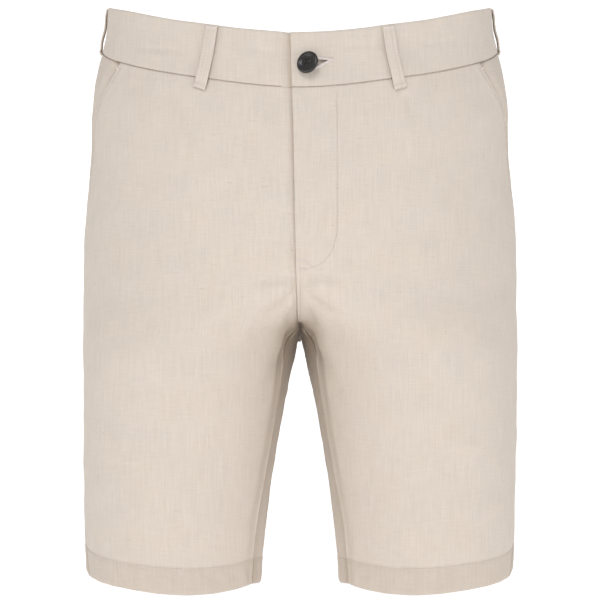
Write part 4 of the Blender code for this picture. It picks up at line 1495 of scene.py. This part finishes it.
class SHORTS_OT_button_hole(bpy.types.Operator):
    """Sew round the buttonhole, which the button holds spread open"""

    bl_idname = "shorts.button_hole"
    bl_label = "Buttonhole"

    def execute(self, context):
        band = sheet_called("waistband_left")
        middle = button_place()[0][2]
        threads = Stitches("button_hole_stitches")
        for side in (1, -1):
            x = np.linspace(HOLE_FROM, HOLE_TO, 160)
            z = middle + (x - BUTTON_X) * HOLE_SLOPE + side * (hole_half_height(x) + 0.9)
            t, s = places_on(band, x, z)
            points, normals = band.at(t, s)
            arc = arc_along(points)
            at = np.arange(0.2, arc[-1], 0.5)
            centres, ups = found_at(at, arc, points), found_at(at, arc, normals)
            runs = np.gradient(centres, axis=0)
            threads.lay(centres + ups * 0.25, np.cross(ups, runs), ups, 2.5, 0.85)
        x = np.array([HOLE_TO + 1.6])
        t, s = places_on(band, x, middle + (x - BUTTON_X) * HOLE_SLOPE)
        point, normal = band.at(t, s)
        threads.bar(point[0] + normal[0] * 0.25, np.array([1.0, 0, 0.1]), normal[0], 5, 3.4, 1.0)
        obj = threads.to_object()
        finish_piece(obj, thread("hole_thread"), "thread")
        return {"FINISHED"}


class SHORTS_OT_button(bpy.types.Operator):
    """Model the waistband button, tipped in its hole, and the thread it stands on"""

    bl_idname = "shorts.button"
    bl_label = "Button"

    def execute(self, context):
        look = context.scene.shorts_button
        radius, thick = look.across / 2, look.thick
        place, normal = button_place()
        normal = Vector(normal)
        face = (normal + Vector((-math.tan(BUTTON_TURN), 0, BUTTON_TILT))).normalized()
        back = (Vector(place) + normal * BUTTON_STAND) * MM
        turn = face.to_track_quat("Z", "X").to_matrix().to_4x4()
        disc = self.disc(radius, thick)
        self.eyes(disc, thick)
        only(disc)
        disc.matrix_world = Matrix.Translation(back) @ turn
        bpy.ops.object.transform_apply(location=True, rotation=True, scale=True)
        bpy.ops.object.shade_smooth_by_angle(angle=math.radians(40))
        finish_piece(disc, button_finish(look.colour), "button", "button")
        self.threads(place, normal, back, face, turn, thick)
        return {"FINISHED"}

    def disc(self, radius, thick):
        """Drawn up from its back, face by face, to a rounded rim and a dished face."""
        bpy.ops.object.select_all(action="DESELECT")
        bpy.ops.mesh.primitive_circle_add(vertices=40, radius=radius * 0.7, fill_type="NGON")
        obj = bpy.context.object
        obj.name = "button_disc"
        bpy.ops.object.mode_set(mode="EDIT")
        bpy.ops.mesh.select_all(action="SELECT")
        profile = (
            (0.7, 0),
            (0.9, 0.06),
            (0.985, 0.26),
            (1.0, 0.5),
            (0.975, 0.76),
            (0.91, 0.94),
            (0.82, 1.0),
            (0.745, 0.97),
            (0.69, 0.84),
            (0.62, 0.7),
            (0.5, 0.635),
            (0.34, 0.6),
        )
        for (r0, z0), (r1, z1) in zip(profile, profile[1:]):
            rise = (0, 0, (z1 - z0) * thick)
            bpy.ops.mesh.extrude_region_move(TRANSFORM_OT_translate={"value": rise})
            grow = r1 / r0
            bpy.ops.transform.resize(value=(grow, grow, 1), center_override=(0, 0, 0))
        bpy.ops.mesh.select_all(action="SELECT")
        bpy.ops.mesh.normals_make_consistent(inside=False)
        bpy.ops.object.mode_set(mode="OBJECT")
        return obj

    def eyes(self, disc, thick):
        """Four holes through the middle, cut with one turned cutter copied three times."""
        for i in range(4):
            angle = EYE_TURN + i * math.pi / 2
            place = (EYE_REACH * math.cos(angle), EYE_REACH * math.sin(angle), thick / 2)
            bpy.ops.object.select_all(action="DESELECT")
            bpy.ops.mesh.primitive_cylinder_add(
                vertices=20, radius=EYE_RADIUS, depth=3 * thick, location=place
            )
            cutter = bpy.context.object
            cut = disc.modifiers.new("Eye", "BOOLEAN")
            cut.operation = "DIFFERENCE"
            cut.object = cutter
            apply_modifiers(disc)
            only(cutter)
            bpy.ops.object.delete()
        soft = disc.modifiers.new("Soft", "BEVEL")
        soft.width = 0.00016
        soft.segments = 2
        soft.limit_method = "ANGLE"
        soft.angle_limit = math.radians(50)
        apply_modifiers(disc)

    def threads(self, place, normal, back, face, turn, thick):
        """The shank between the band and the button, and the thread that shows in the eyes."""
        sewn = Stitches("button_thread_sewn")
        foot = place - np.array(normal) * 1.9
        head = np.array(back) / MM + np.array(face) * thick / MM * 0.4
        run = head - foot
        side = np.cross(run, (0, 0, 1))
        side /= np.linalg.norm(side)
        up = np.cross(side, run)
        up /= np.linalg.norm(up)
        for i in range(7):
            angle = i / 7 * 2 * math.pi
            off = side * math.cos(angle) * 0.75 + up * math.sin(angle) * 0.75
            middle = (foot + head) / 2 + off
            out = off / np.linalg.norm(off)
            sewn.lay(middle[None], run[None], out[None], np.linalg.norm(run) * 1.15, 0.6)
        centre = np.array(back) / MM + np.array(face) * thick / MM * 0.6
        axes = np.array(turn.to_3x3())
        angle = EYE_TURN + math.pi / 4
        run = axes @ np.array([math.cos(angle), math.sin(angle), 0])
        aside = np.array([-math.sin(angle), math.cos(angle), 0])
        ups = axes @ np.array([0, 0, 1.0])
        for across in (-1, 1):
            for beside in (-0.3, 0.0, 0.3):
                point = centre + axes @ (aside * (across * 1.34 + beside))
                sewn.lay(point[None], run[None], ups[None], 3.2, 0.3, 0.35)
        obj = sewn.to_object()
        finish_piece(obj, thread("button_thread"), "thread", "button_thread")


class SHORTS_OT_stage(bpy.types.Operator):
    """Set the pale sweep, the soft light and the camera"""

    bl_idname = "shorts.stage"
    bl_label = "Stage"

    def execute(self, context):
        look = context.scene.shorts_stage
        scene = context.scene
        scene.view_settings.view_transform = "Standard"
        world = bpy.data.worlds.new("white_surround")
        world.use_nodes = True
        world.node_tree.nodes["Background"].inputs["Color"].default_value = (1, 1, 1, 1)
        world.node_tree.nodes["Background"].inputs["Strength"].default_value = look.brightness
        scene.world = world
        self.floor()
        for light in LIGHTS:
            self.light(*light)
        camera = bpy.data.objects.new("camera", bpy.data.cameras.new("camera"))
        scene.collection.objects.link(camera)
        camera.location = (0, -look.camera_distance, look.camera_height)
        camera.rotation_euler = (math.pi / 2, 0, 0)
        camera.data.lens = look.lens
        camera.data.sensor_width = 36
        camera.data.clip_end = 50
        scene.camera = camera
        return {"FINISHED"}

    def floor(self):
        """A plane bent up behind into a backdrop."""
        low = CAD_BOX[0][2] - 0.1
        bpy.ops.object.select_all(action="DESELECT")
        bpy.ops.mesh.primitive_plane_add(size=6, location=(0, 0, low))
        sweep = bpy.context.object
        sweep.name = "sweep"
        bpy.ops.object.mode_set(mode="EDIT")
        bpy.ops.mesh.select_all(action="DESELECT")
        bpy.ops.object.mode_set(mode="OBJECT")
        for edge in sweep.data.edges:
            edge.select = all(sweep.data.vertices[v].co.y > 2.9 for v in edge.vertices)
        bpy.ops.object.mode_set(mode="EDIT")
        bpy.ops.mesh.select_mode(type="EDGE")
        for i in range(1, 9):
            angle = math.pi / 2 * i / 8
            step = (0, 0.16 * math.cos(angle), 0.16 * math.sin(angle))
            bpy.ops.mesh.extrude_region_move(TRANSFORM_OT_translate={"value": step})
        bpy.ops.mesh.extrude_region_move(TRANSFORM_OT_translate={"value": (0, 0, 4)})
        bpy.ops.object.mode_set(mode="OBJECT")
        only(sweep)
        bpy.ops.object.transform_apply(location=True, rotation=True, scale=True)
        bpy.ops.object.shade_smooth()
        sweep.data.materials.append(stage_finish())

    def light(self, name, place, size, power):
        data = bpy.data.lights.new(name, "AREA")
        data.shape = "DISK"
        data.size = size
        data.energy = power
        lamp = bpy.data.objects.new(name, data)
        bpy.context.scene.collection.objects.link(lamp)
        lamp.location = place
        aim = Vector((0, 0, -0.25)) - Vector(place)
        lamp.rotation_euler = aim.to_track_quat("-Z", "Y").to_euler()


class SHORTS_PT_panel(bpy.types.Panel):
    """Sizes and colours of the shorts, and the steps that make them."""

    bl_idname = "SHORTS_PT_panel"
    bl_label = "Bermuda Shorts"
    bl_space_type = "VIEW_3D"
    bl_region_type = "UI"
    bl_category = "Shorts"

    def draw(self, context):
        for group in GROUPS:
            box = self.layout.box()
            box.label(text=group[1])
            data = getattr(context.scene, group[0])
            for name in data.__annotations__:
                box.prop(data, name)
        for step in STEPS:
            self.layout.operator(step.bl_idname)


STEPS = (
    SHORTS_OT_waistband,
    SHORTS_OT_fronts,
    SHORTS_OT_backs,
    SHORTS_OT_pocket_sides,
    SHORTS_OT_belt_loops,
    SHORTS_OT_seams,
    SHORTS_OT_button_hole,
    SHORTS_OT_button,
    SHORTS_OT_stage,
)
GROUPS = (
    ("shorts_cloth", "Cloth", ShortsCloth),
    ("shorts_sewing", "Sewing", ShortsSewing),
    ("shorts_button", "Button", ShortsButton),
    ("shorts_stage", "Stage", ShortsStage),
)


def register():
    for name, _, group in GROUPS:
        bpy.utils.register_class(group)
        setattr(bpy.types.Scene, name, bpy.props.PointerProperty(type=group))
    for step in STEPS:
        bpy.utils.register_class(step)
    bpy.utils.register_class(SHORTS_PT_panel)


def unregister():
    bpy.utils.unregister_class(SHORTS_PT_panel)
    for step in reversed(STEPS):
        bpy.utils.unregister_class(step)
    for name, _, group in reversed(GROUPS):
        delattr(bpy.types.Scene, name)
        bpy.utils.unregister_class(group)


def main():
    register()
    for step in STEPS:
        module, name = step.bl_idname.split(".")
        getattr(getattr(bpy.ops, module), name)()


if __name__ == "__main__":
    main()
